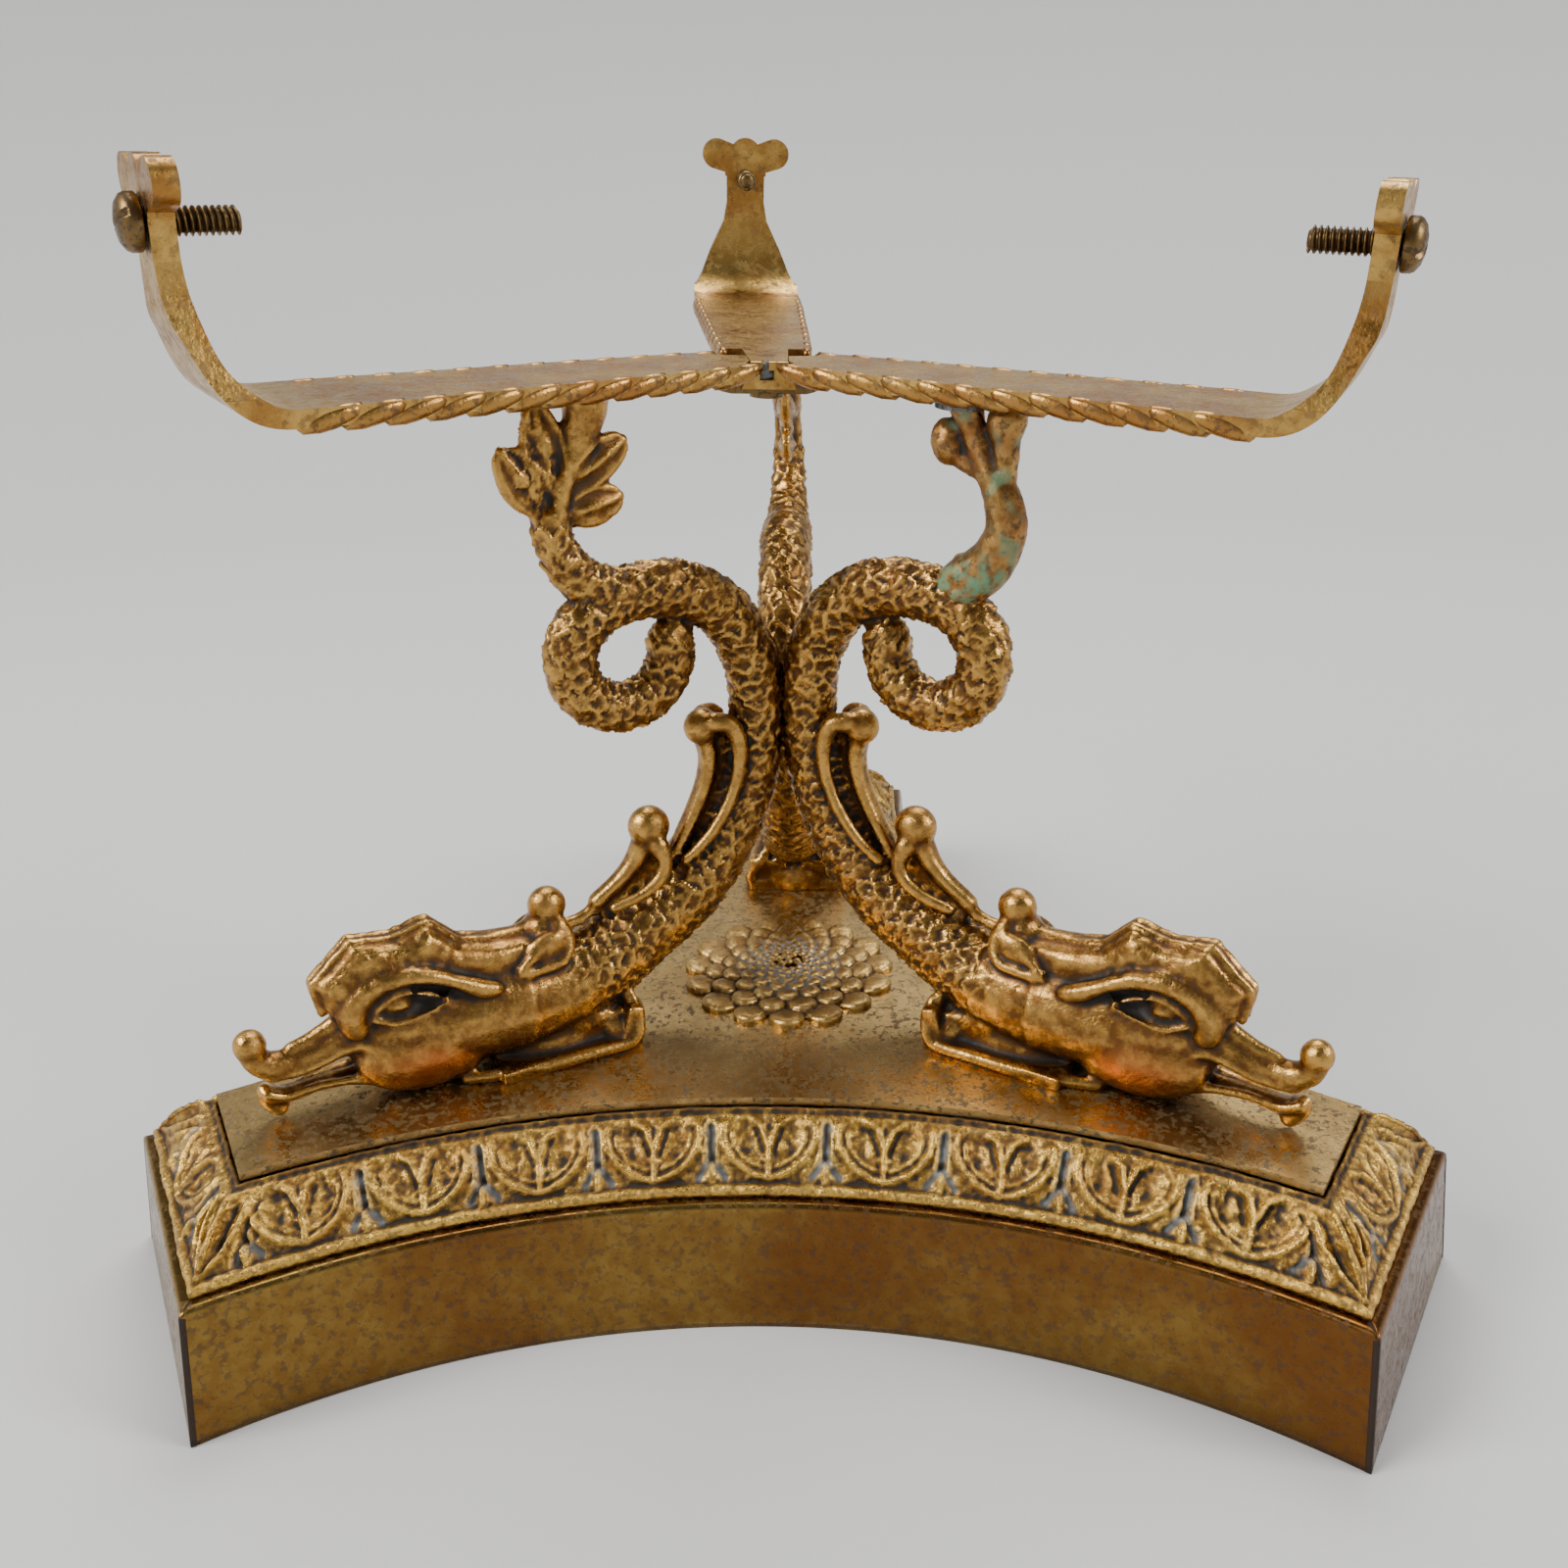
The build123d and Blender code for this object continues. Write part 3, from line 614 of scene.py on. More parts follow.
def add_head(bm):
    """Cheeks, snout, jaws, crest, brow and eyes."""
    blob(bm, (85, 0, 60.5), (23, 10.2, 13.8), 5)
    blob(bm, (95, 0, 71), (15, 6.4, 9.5))
    blob(bm, (103.5, 0, 70), (6.5, 5.2, 7.5))
    blob(bm, (126.4, 0, 65.0), (3.5, 3.4, 3.6))
    blobs(bm, (90, 3.4, 55.8), (16.5, 7.6, 9.8), 3)
    blobs(bm, (95.5, 5.4, 69.2), (4.6, 2.6, 3.0))
    for step, sides, stations in HEAD_MIDDLE:
        tube(bm, stations, step, sides)
    for step, sides, stations in HEAD_PAIRS:
        tubes(bm, stations, step, sides)
    # The crest is nine nested planks, thick in the middle and thin at the scalloped edge.
    mx, mz = CREST_MIDDLE
    for share in np.linspace(1.0, CREST_INNER, 9):
        thick = 1.3 + 5.0 * sqrt(1 - ((share - CREST_INNER) / (1 - CREST_INNER)) ** 2)
        outline = [(mx + (x - mx) * share, -thick, mz + (z - mz) * share) for x, z in CREST]
        join(bm, plank(outline, (0, 2 * thick, 0)))
    for side in (1, -1):
        rod(bm, [(x, side * 1.3, z - 0.3, 1.0) for x, z in CREST[1:-1]], 10)


# %% The foot: a fin that lies on the plate under the neck
FOOT_RIM = [(84, 7.2, 46.9, 1.5), (76, 10.0, 47.2, 1.6), (66, 11.8, 47.4, 1.6),
            (56, 12.4, 47.6, 1.5), (46.5, 12.5, 47.9, 1.5), (44.4, 11.9, 51.5, 1.4),
            (43.9, 9.4, 55.0, 1.4), (45.5, 6.8, 57.5, 1.3)]


def add_foot(bm):
    """A low wedge with a raised rim and an upturned corner behind."""
    blob(bm, (60, 0, 48.5), (18, 9.6, 9.0))
    blob(bm, (48.5, 0, 49.0), (5.5, 11.5, 7.0))
    for side in (1, -1):
        slab(bm, (60.5, side * 6.4, 47.0), (33, 12.6, 3.4))
        slab(bm, (46.0, side * 7.4, 51.0), (3.6, 10.0, 10), -14)
        slab(bm, (52, side * 4.5, 50.5), (14, 9, 8))
    tubes(bm, FOOT_RIM, 1.6, 12)


# %% [markdown]
# The flukes are a leaf of four lobes round a double midrib. Each lobe is a thin blade with a
# raised rim, so the veins catch the light and the blades stay dark.

# %% The leaf flukes: each lobe's root and tip as (distance, height), and its width
LOBES = [((52.6, 167.5), (61, 181.2), 8.6), ((51.2, 171), (53.4, 189.3), 8.4),
         ((47.8, 173), (35.2, 181), 7.6), ((48.6, 167), (36.6, 169.6), 7.4)]
# Along the lobe, out from its middle, both as shares, and the rim's radius there.
RIM = ((0, 0, 1.25), (0.22, 0.34, 1.25), (0.55, 0.46, 1.25), (0.85, 0.26, 1.125), (1, 0, 1))
MIDRIB = [(52, 1.5, 163, 2.6), (50.2, 1.5, 170, 2.0), (47, 1.5, 178, 1.7), (43.6, 1.4, 186, 1.7)]
BOSS = [(46.5, 0, 176, 3.0), (44.8, 0, 182, 3.6), (43.0, 0, 187.5, 4.6), (43.0, 0, 193, 5.4)]


def lobe_line(root, tip):
    """A lobe's length, and its direction as two parts."""
    run = tip[0] - root[0], tip[1] - root[1]
    length = hypot(*run)
    return length, run[0] / length, run[1] / length


def add_leaf(bm):
    """Four lobes and the midrib that runs up to the boss."""
    for root, tip, width in LOBES:
        length, ax, az = lobe_line(root, tip)
        (x0, z0), (x1, z1) = root, tip
        blob(bm, ((x0 + x1) / 2, 0, (z0 + z1) / 2), (length / 2, 1.9, width / 2 - 0.2),
             -atan2(az, ax) * 180 / pi)
        for side in (1, -1):
            tube(bm, [(x0 + ax * length * share - side * az * width * out, 0.0,
                       z0 + az * length * share + side * ax * width * out, radius)
                      for share, out, radius in RIM], 1.2, 10)
        tube(bm, [(x0 + ax * length * share, 0, z0 + az * length * share, radius)
                  for share, radius in ((0, 1.7), (0.5, 1.75), (0.8, 1.2))], 1.5, 10)
    blob(bm, (49.0, 0, 176.0), (7.5, 1.7, 9.5))
    blob(bm, (54.0, 0, 175.5), (4.5, 2.3, 5.0))
    tubes(bm, MIDRIB, 1.6, 12)
    tube(bm, BOSS, 1.5, 18)


# %% [markdown]
# The scales were chased with a punch, row after row, and no two are alike. A vertex on the body
# knows how far along it is and how far round, so it knows its scale: each scale climbs to a
# curved lip and drops to the next, with noise bending the rows, as hand work does.

# %% The chased scales
SCALE_ROW, SCALE_WIDE, SCALE_HEIGHT = 3.3, 4.4, 1.0
BATCH = 20000


def along_body(points):
    """For each point: distance along the body, distance round it, and depth (1 is the skin)."""
    nearest = np.empty(len(points), dtype=int)
    for k in range(0, len(points), BATCH):
        part = points[k:k + BATCH]
        far = ((part[:, None, 0] - PATH[None, :, 0]) ** 2
               + (part[:, None, 2] - PATH[None, :, 2]) ** 2)
        nearest[k:k + BATCH] = (np.sqrt(far) / PATH[None, :, 3]).argmin(axis=1)
    on = PATH[nearest]
    ahead = PATH[np.minimum(nearest + 1, len(PATH) - 1)] - PATH[np.maximum(nearest - 1, 0)]
    ahead = ahead[:, [0, 2]] / np.linalg.norm(ahead[:, [0, 2]], axis=1)[:, None]
    out = (points[:, 0] - on[:, 0]) * ahead[:, 1] - (points[:, 2] - on[:, 2]) * ahead[:, 0]
    round_it = np.arctan2(out, points[:, 1]) * on[:, 3]
    return PATH_LENGTH[nearest], round_it, np.hypot(out, points[:, 1]) / on[:, 3]


def scatter(row, column, salt):
    """A repeatable random number from 0 to 1 for each scale."""
    value = np.sin(row * 12.9898 + column * 78.233 + salt * 37.719) * 43758.5453
    return value - np.floor(value)


def chase_scales(thing):
    """Raise the scales on the body and leave the head, fins and foot smooth."""
    points = points_of(thing)
    along, round_it, depth = along_body(points)
    u = along / SCALE_ROW + 0.5 * grain(points, 3.6)
    v = round_it / SCALE_WIDE + 0.45 * grain(points, 4.4, 9.0)
    row = np.floor(u)
    column = np.floor(v + 0.5 * (row % 2))
    fv = v + 0.5 * (row % 2) - column - 0.5
    # Each scale climbs to a curved lip and drops; its neighbour's lip starts half a scale on.
    climb = (u - row + 0.55 * (2 * fv) ** 2) % 1.0
    lip = climb ** 1.6 * np.clip((1 - climb) * 6, 0, 1)
    tilt = (scatter(row, column, 1) - 0.5) * fv * 1.6
    height = SCALE_HEIGHT * (0.5 + 0.8 * scatter(row, column, 3)) * (lip - 0.35 + tilt * 0.5)
    height += 0.34 * np.abs(grain(points, 2.4, 3.0)) - 0.12
    height += 0.2 * np.abs(grain(points, 1.2, 3.0))
    start = np.clip((along - 10) / 12, 0, 1)
    skin = np.clip((1.34 - depth) / 0.2, 0, 1)
    above = np.clip((points[:, 2] - PLATE_TOP - 3) / 3, 0, 1)
    smooth_cheek = np.clip((80 - points[:, 0]) / 8, 0, 1)
    push(thing, height * start * skin * above * smooth_cheek)


# %% Sculpt the head and the leaf after the fusing
def sculpt_head(thing):
    """Sink the eye sockets, show faint hammering on the crown, and edge the leaf's lobes."""
    points = points_of(thing)
    x, y, z = points.T
    socket = np.exp(-(((x - 91.5) / 7.5) ** 2 + ((z - 69.3) / 3.2) ** 2)) * (np.abs(y) > 3)
    eye_ball = np.exp(-(((x - 95.8) / 2.3) ** 2 + ((z - 69.2) / 1.7) ** 2))
    height = -1.5 * socket * (1 - 0.9 * eye_ball)
    crown = np.clip((x - 80) / 4, 0, 1) * np.clip((z - 72) / 3, 0, 1)
    height += 0.22 * grain(points, 1.8, 5.0) * crown
    height += 0.10 * grain(points, 2.6, 7.0) * np.clip((x - 74) / 6, 0, 1)
    # Each lobe of the leaf gets a raised rim and midrib, with a shallow dip between them.
    for (x0, z0), tip, width in LOBES:
        length, ax, az = lobe_line((x0, z0), tip)
        share = ((x - x0) * ax + (z - z0) * az) / length
        off = np.abs((x - x0) * az - (z - z0) * ax)
        half = 0.5 * width * np.sqrt(np.clip(1 - (2 * np.clip(share, 0, 1) - 1) ** 2, 0, 1)) + 0.4
        on = np.clip((share - 0.16) / 0.12, 0, 1) * np.clip((1.06 - share) / 0.1, 0, 1)
        on *= np.clip((half + 1.2 - off) / 0.9, 0, 1)
        edge = 0.45 * np.exp(-((off - half * 0.84) / 0.5) ** 2) + 0.45 * np.exp(-(off / 0.5) ** 2)
        height += on * (z > 166) * (edge - 0.15 * np.exp(-((off - half * 0.42) / 0.6) ** 2))
    push(thing, height)


# %% Make the three dolphins
VOXEL = 0.6


def make_dolphin(name):
    """Fuse, sculpt, chase and place one dolphin."""
    bm = bmesh.new()
    add_body(bm, with_leaf=name != "right")
    add_fins(bm)
    add_head(bm)
    add_foot(bm)
    if name != "right":
        add_leaf(bm)
    thing = fuse(to_object(f"dolphin_{name}_casting", bm), VOXEL, melt=3)
    sculpt_head(thing)
    chase_scales(thing)
    points = hold_height(thing, PLATE_TOP + 0.02)
    x, y, z = points.T
    cheek = np.exp(-(((x - 93) / 9) ** 2 + ((z - 54.5) / 4.5) ** 2)) * np.clip(np.abs(y) - 2, 0, 1)
    stain = cheek * (0.9 + 0.6 * grain(points, 6.0, 2.0))
    thing.data.transform(end_matrix(name))
    trim_under_arms(thing)
    return finish_piece(thing, CAST, "stand", (f"dolphin_{name}",), gain=1.25,
                        stain=stain)


for name in ENDS:
    make_dolphin(name)

# %% [markdown]
# The right-hand dolphin lost its leaf long ago. A plain stem with two buds was cast to replace
# it and soldered on. Green copper salts have grown round that join, and pale solder shows.

# %% The mended tail
MEND_STEM = [(44, 0, 151.5, 5.2), (48.5, 0, 154.5, 5.2), (52, 0, 159, 4.7), (53.8, 0, 165, 4.2),
             (52.2, 0, 171, 3.7), (49.0, 0, 176.5, 3.0), (46.2, 0, 182, 2.7), (44.4, 0, 187, 3.4),
             (43, 0, 193, 4.6)]


def make_mended_tail():
    """A stem, an outer and an inner bud, and the lumpy solder at the join."""
    bm = bmesh.new()
    tube(bm, MEND_STEM, 1.6, 18)
    tube(bm, [(52.0, 0, 170, 3.0), (53.0, 0, 176, 2.5), (53.0, 0, 182, 2.8)], 1.4, 16)
    blob(bm, (53.0, 0, 184.9), (4.0, 4.0, 4.8), 8)
    tube(bm, [(48.6, 0, 175, 2.2), (44.8, 0, 176.4, 2.2), (41.6, 0, 178, 2.2)], 1.2, 16)
    blob(bm, (40.6, 0, 180.2), (3.7, 3.8, 4.9), -14)
    for k in range(7):
        turn = k * 2.4
        blob(bm, (45.5 + 1.5 * sin(turn), 3.8 * cos(turn), 152.6 + 3.4 * sin(turn * 1.7)),
             (2.2, 1.9, 2.0))
    thing = fuse(to_object("mended_tail_casting", bm), VOXEL, melt=1)
    points = points_of(thing)
    push(thing, 0.22 * grain(points, 2.4, 1.0) + 0.1 * grain(points, 1.0, 4.0))
    fleck = np.clip(0.75 + 1.6 * grain(points, 0.9, 9.0), 0, 1)
    low = 0.85 * fleck * np.clip((161 - points[:, 2]) / 6, 0, 1)
    low *= np.clip(0.45 + 2.2 * grain(points, 2.4, 6.0), 0, 1)
    streak = np.clip(1.6 * grain(points, 3.6, 12.0) - 0.35, 0, 0.55)
    thing.data.transform(end_matrix("right"))
    trim_under_arms(thing)
    return finish_piece(thing, MENDED, "stand", ("mended_tail_right",), gain=1.7,
                        stain=low + streak)


make_mended_tail()

# %% [markdown]
# ## The leaf moulding
# It was stamped from sheet in a die: nine leaves along each curved side and one on each end,
# with a bead along its foot. The pattern is drawn once, flat, as ridges and grooves along a few
# lines of half a leaf. A fine grid is raised by it, then bent to the curve and slope of the stand.

# %% The leaf pattern: lines as (across from the leaf's middle, up the slope), width, height
PITCH = 24.6
RIDGES = [
    ([(0, 3.9), (2.4, 4.5), (5.2, 5.8), (7.8, 8), (9.4, 10.6), (9.9, 13), (9.7, 15.4)], 0.75, 1.15),
    ([(1.3, 6.2), (3.4, 7.0), (5.8, 8.6), (7.5, 10.8), (7.9, 13.4)], 0.5, 0.5),
    ([(0.0, 4.0), (0.0, 10.0), (1.5, 14.6), (3.4, 16.0)], 0.75, 1.0),
    ([(11.1, 6.6), (11.2, 15.0), (12.3, 16.3)], 0.5, 0.75),
    ([(12.3, 6.6), (12.3, 3.2)], 0.75, 1.0),
]
GROOVES = [
    ([(12.3, 8.4), (12.3, 14.6)], 0.95, 1.15),
    ([(12.3, 8.2), (9.4, 4.2)], 0.7, 0.9),
    ([(4.7, 9.6), (4.9, 14.0)], 2.0, 0.8),
    ([(1.2, 9.5), (2.8, 14.2)], 0.6, 0.5),
]
CORNER_RIDGES = [([(0.0, 3.0), (0.0, 16.5)], 0.8, 1.0),
                 ([(0.5, 3.4), (3.4, 6.0), (5.2, 10.0), (4.8, 15.0)], 0.7, 0.9)]
CORNER_GROOVES = [([(2.4, 8.0), (2.4, 14.0)], 0.9, 0.9), ([(7.0, 7.0), (7.0, 14.0)], 0.7, 0.8)]
BEAD_R, BEAD_TALL, PATTERN_TOP = 1.35, 1.25, 17.2


def reach(x, y, line):
    """How far each point (x, y) is from a line of straight runs."""
    best = np.full(x.shape, 1e9)
    for (x0, y0), (x1, y1) in zip(line, line[1:]):
        dx, dy = x1 - x0, y1 - y0
        share = np.clip(((x - x0) * dx + (y - y0) * dy) / (dx * dx + dy * dy), 0, 1)
        best = np.minimum(best, np.hypot(x - x0 - share * dx, y - y0 - share * dy))
    return best


def stamp(x, up, line, width):
    """1 on a line and near 0 at twice its width away."""
    return np.exp(-(reach(x, up, line) / width) ** 2)


def leaf_relief(across, up, corner):
    """Height of the pattern and how much grey deposit sits there, from flat positions."""
    x = np.abs(across - PITCH * np.round(across / PITCH))
    plain = np.clip((corner - 6.0) / 1.5, 0, 1)
    height, deposit = np.zeros(x.shape), np.zeros(x.shape)
    for line, width, tall in RIDGES:
        height = np.maximum(height, plain * tall * stamp(x, up, line, width))
    for line, width, tall in CORNER_RIDGES:
        height = np.maximum(height, tall * stamp(corner, up, line, width))
    for line, width, deep in GROOVES:
        groove = stamp(x, up, line, width) * plain
        height -= deep * groove
        deposit = np.maximum(deposit, groove * (deep > 0.8) * (width < 1))
    for line, width, deep in CORNER_GROOVES:
        height -= deep * stamp(corner, up, line, width)
    bead = np.sqrt(np.clip(1 - ((up - BEAD_R) / BEAD_R) ** 2, 0, 1))
    height = np.where(up < 2.9, BEAD_TALL * bead, height)
    return np.where(up > PATTERN_TOP, -0.5, height), deposit


# %% Bend the pattern round the stand
SIDE_R, SIDE_ARC_R, END_R = 68.5, 207.0, 150.0
FOOT_INSET, MID_INSET, TOP_INSET = 2.4, 8.0, 15.0
RUN, RISE = TOP_INSET - FOOT_INSET, PLATE_Z - PLINTH_TOP
SLOPE = hypot(RUN, RISE)
CENTRE = SIDE_R + SIDE_ARC_R
SWELL, BOW, MOULD_WALL = 0.9, 1.9, 0.9


def corner_of(inset):
    """Half an end's width, and half a side's angle, where they meet at this inset."""
    along = END_R - inset - CENTRE * cos(radians(60))
    deep = np.sqrt((SIDE_ARC_R + inset) ** 2 - along ** 2)
    return CENTRE * sin(radians(60)) - deep, radians(30) + np.arctan2(along, deep)


def bend_strip(thing, share, inset, z, angle, curved):
    """Lay a flat strip along a side or an end: share runs from -1 to 1, mitre to mitre."""
    half, wide = corner_of(inset)
    if curved:
        turn = share * wide
        radius = SIDE_ARC_R + inset
        x, y = CENTRE - radius * np.cos(turn), radius * np.sin(turn)
    else:
        x, y = END_R - inset, share * half
    set_points(thing, np.stack([x, y, z], axis=1))
    thing.data.transform(Matrix.Rotation(radians(angle), 4, "Z"))


def flat_strip(name, columns, rows):
    """A grid, and where its vertices are: -1 to 1 along it, and 0 to 1 up it."""
    bm = bmesh.new()
    bmesh.ops.create_grid(bm, x_segments=columns, y_segments=rows, size=1.0)
    thing = to_object(name, bm)
    flat = points_of(thing)
    return thing, flat[:, 0], (flat[:, 1] + 1) / 2


def make_moulding(name, angle, curved):
    """One strip of moulding, on a curved side or on an end."""
    mid_half, mid_angle = corner_of(MID_INSET)
    length = 2 * mid_angle * (SIDE_ARC_R + MID_INSET) if curved else 2 * mid_half
    fine = 0.42
    thing, share, rise = flat_strip(f"leaf_moulding_{name}", int(length / fine), int(SLOPE / fine))
    up = rise * SLOPE
    swell = SWELL * np.sin(pi * rise)
    inset = FOOT_INSET + RUN * rise - swell
    z = PLINTH_TOP + RISE * rise + swell
    half, wide = corner_of(inset)
    across, edge = share * half, half
    if curved:
        across = share * wide * (SIDE_ARC_R + MID_INSET) + BOW * (1 - share ** 2)
        edge = wide * (SIDE_ARC_R + inset)
    height, deposit = leaf_relief(across, up, (1 - np.abs(share)) * edge)
    # Wear and dents, then the pattern fades out at the top edge, where the plate lies on it.
    place = np.stack([across + 300 * len(name), up, up * 0], axis=1)
    height = height * (1 + 0.5 * grain(place, 9.0, 2.0))
    height = height + 0.32 * grain(place, 2.2) + 0.22 * grain(place, 1.0, 4.0)
    rim = np.clip(np.minimum(up, SLOPE - up) / 0.8, 0, 1)
    height = np.where(up < 0.8, height, height * rim)
    inset = inset - height * (RISE / SLOPE)
    z = np.clip(z + height * RUN / SLOPE, PLINTH_TOP + 0.02, PLATE_Z - 0.05)
    bend_strip(thing, share, inset, z, angle, curved)
    face_up(thing)
    mark_hollows(thing, 9, 1.25)
    write_value(thing, "stain",
                np.clip(deposit * 0.9, 0, 0.7) * (0.6 + 0.7 * grain(place, 2.0, 8.0)))
    thicken(thing, MOULD_WALL)
    return settle(thing, MOULD, "stand", (f"moulding_{name}",))


for name, angle in SIDES.items():
    make_moulding(f"side_{name}", angle, True)
for name, angle in ENDS.items():
    make_moulding(f"end_{name}", angle, False)

# %% [markdown]
# ## The plinth
# Six strips of sheet brass, folded over at the top, leaning out to the foot and soldered at the
# corners. Hand-finished sheet is never dead flat, so it gets a faint waviness. The corner seams
# hold dirt, and the fold and the foot edge carry a painted highlight; both go into the hollow
# value.

# %% The plinth's walls
FOLD = [(-3.4, 0.0), (-3.34, 0.7), (-3.24, 1.5), (-0.42, 28.2), (-0.28, 29.0), (0.1, 29.65),
        (0.8, 29.95), (1.6, 30.0), (3.4, 30.0)]
FOLD_STEPS = [hypot(b[0] - a[0], b[1] - a[1]) for a, b in zip(FOLD, FOLD[1:])]
FOLD_RUN = np.concatenate([[0], np.cumsum(FOLD_STEPS)])
SIDE_LONG, END_LONG, SHEET_WALL, WALL_ROWS = 241.0, 64.0, 1.2, 48


def make_wall(name, angle, curved):
    """One wall of the plinth, with its fold."""
    length = SIDE_LONG if curved else END_LONG
    fine = 1.0
    thing, share, rise = flat_strip(f"plinth_wall_{name}", int(length / fine), WALL_ROWS)
    run = rise ** 0.75 * FOLD_RUN[-1]
    inset = np.interp(run, FOLD_RUN, [i for i, _ in FOLD])
    z = np.interp(run, FOLD_RUN, [h for _, h in FOLD])
    from_corner = (1 - np.abs(share)) * length / 2
    place = np.stack([share * length / 2, z, z * 0 + angle], axis=1)
    face = np.clip(np.minimum(z / 3, (28.5 - z) / 3), 0, 1) * np.clip(from_corner / 6, 0, 1)
    inset = inset + 0.12 * face * grain(place, 22.0) + 0.05 * face * grain(place, 6.0)
    bend_strip(thing, share, inset, z, angle, curved)
    face_up(thing)
    seam = np.exp(-(from_corner / 0.55) ** 2)
    # Painted highlight: the rounded fold and the foot edge are made lighter in bands, standing in
    # for the highlight lines these soft edges catch. The seam term is dirt in the soldered corners.
    bright = np.exp(-((run - FOLD_RUN[5]) / 0.9) ** 2) + 0.7 * np.exp(-(run / 0.8) ** 2)
    write_value(thing, "hollow", 0.5 - 0.3 * bright + 0.5 * seam)
    thicken(thing, SHEET_WALL)
    hold_height(thing, 0.0)
    return settle(thing, SHEET, "stand", (f"plinth_{name}",))


for name, angle in SIDES.items():
    make_wall(f"side_{name}", angle, True)
for name, angle in ENDS.items():
    make_wall(f"end_{name}", angle, False)

# %% [markdown]
# ## The rosette
# A pressed flower of nested petals under the place where the dolphins meet. Each ring has the
# same number of petals as the last, smaller in proportion and shifted half a step. One petal is
# spun as a round cushion, then placed again and again with its outer edge lifted.

# %% The rosette
PETALS, RINGS, SHRINK = 15, 8, 0.795
ROSETTE_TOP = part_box("rosette")[1][2] / MM


def add_petal(bm, matrix):
    """A round cushion: a line spun round the z axis."""
    part = lathe([(0.0, 0.55), (0.45, 0.53), (0.72, 0.46), (0.88, 0.32), (0.97, 0.12), (1.0, -0.1),
                  (0.96, -1.0), (0.0, -1.0)], 16)
    bmesh.ops.transform(part, matrix=matrix, verts=part.verts[:])
    join(bm, part)


def make_rosette():
    """Rings of petals on a low dome, melted together so that dirt can gather between them."""
    bm = bmesh.new()
    dome = ROSETTE_TOP - PLATE_TOP
    for ring in range(RINGS):
        radius, size = 21.4 * SHRINK ** ring, 4.7 * SHRINK ** ring
        z = PLATE_TOP + 0.5 + (dome - 1.5) * (1 - (radius / 22) ** 1.1)
        for k in range(PETALS):
            turn = Matrix.Rotation(2 * pi * (k + 0.5 * (ring % 2)) / PETALS + 0.13, 4, "Z")
            tilt = Matrix.Rotation(-radians(8 + 2 * (k * 7 % 3)), 4, "Y")
            wide = size * (1 + 0.06 * sin(k * 2.3 + ring))
            shape = Matrix.Diagonal((wide, wide * 0.92, 2.0 * SHRINK ** (ring * 0.4), 1))
            add_petal(bm, turn @ Matrix.Translation((radius, 0, z)) @ tilt @ shape)
    for k in range(8):
        turn, out = 2.399 * k, 1.15 * sqrt(k)
        blob(bm, (out * cos(turn), out * sin(turn), ROSETTE_TOP - 1.1), (1.0, 1.0, 1.0))
    thing = fuse(to_object("rosette_petals", bm), 0.28)
    points = hold_height(thing, PLATE_TOP - 0.2, ROSETTE_TOP)
    push(thing, 0.06 * grain(points, 1.5))
    inner = np.clip((15 - np.hypot(points[:, 0], points[:, 1])) / 9, 0, 1)
    depth = mark_hollows(thing, 9, 3.0)
    thing.data.attributes.remove(thing.data.attributes["hollow"])
    return finish_piece(thing, PRESSED, "stand", ("rosette",), gain=3.0,
                        stain=inner * np.clip((depth - 0.52) * 6, 0, 0.8))


make_rosette()

# %% [markdown]
# ## The arms
# The CAD arms already have the right bend and outline. What they lack is their edge, filed into a
# rope: a row of slanted lozenges, each a stretched ball that overlaps the next.

# %% The rope edges
ROPE_FROM, ROPE_TO, ROPE_STEP = 13.0, 99.0, 7.6
LOZENGE, SLANT = (6.6, 1.5, 1.9), 14.0
EDGE_IN, EDGE_DOWN = 0.95, 2.05


def half_width(r):
    """Half the arm's width at a distance from the hub."""
    return np.interp(r, [9, 15, 35, 63, 91, 104], [9.2, 10.3, 11.4, 12.7, 14.1, 14.2])


def make_rope(name):
    """Slanted lozenges along both edges of one arm's flat run."""
    bm = bmesh.new()
    for side in (1, -1):
        for r in np.arange(ROPE_FROM, ROPE_TO, ROPE_STEP):
            part = bmesh.new()
            at = (r, side * (half_width(r) - EDGE_IN), -EDGE_DOWN)
            bmesh.ops.create_icosphere(part, subdivisions=2, radius=1.0,
                                       matrix=placed(at, LOZENGE, SLANT))
            join(bm, part)
    bmesh.ops.transform(bm, matrix=arm_matrix(name), verts=bm.verts[:])
    return finish_piece(to_object(f"arm_{name}_rope_edge", bm), ROPE, "stand",
                        gain=0.6)


for name in ENDS:
    make_rope(name)

# %% [markdown]
# At the front of the hub the root of the back arm was filed to a bright flat. A small stepped
# notch is cut out of its top edge with a boolean, and lumps of grey solder fill it.

# %% The filed flat at the front of the hub, and the solder in its notch
def make_hub_flat():
    """A trapezium of bright metal with a notch in its top edge."""
    outline = [(-3.9, 0.1), (3.9, 0.1), (4.6, -2.4), (5.8, -5.5), (-5.8, -5.5), (-4.6, -2.4)]
    bm = plank([(-9.0, y, z) for y, z in outline], (1.6, 0, 0))
    bmesh.ops.bevel(bm, geom=bm.edges[:], offset=0.25, segments=2, profile=0.5, affect="EDGES",
                    material=-1)
    flat = to_object("hub_filed_flat", bm)
    notch = bmesh.new()
    slab(notch, (-9.0, 0.9, -1.0), (2.6, 1.6, 2.8))
    slab(notch, (-9.0, 0.5, -2.6), (2.6, 2.9, 2.0))
    cut_away(flat, notch, crossing=True)
    flat.data.transform(arm_matrix("back"))
    finish_piece(flat, ARM, "stand", gain=0.0)
    flat.data.shade_flat()


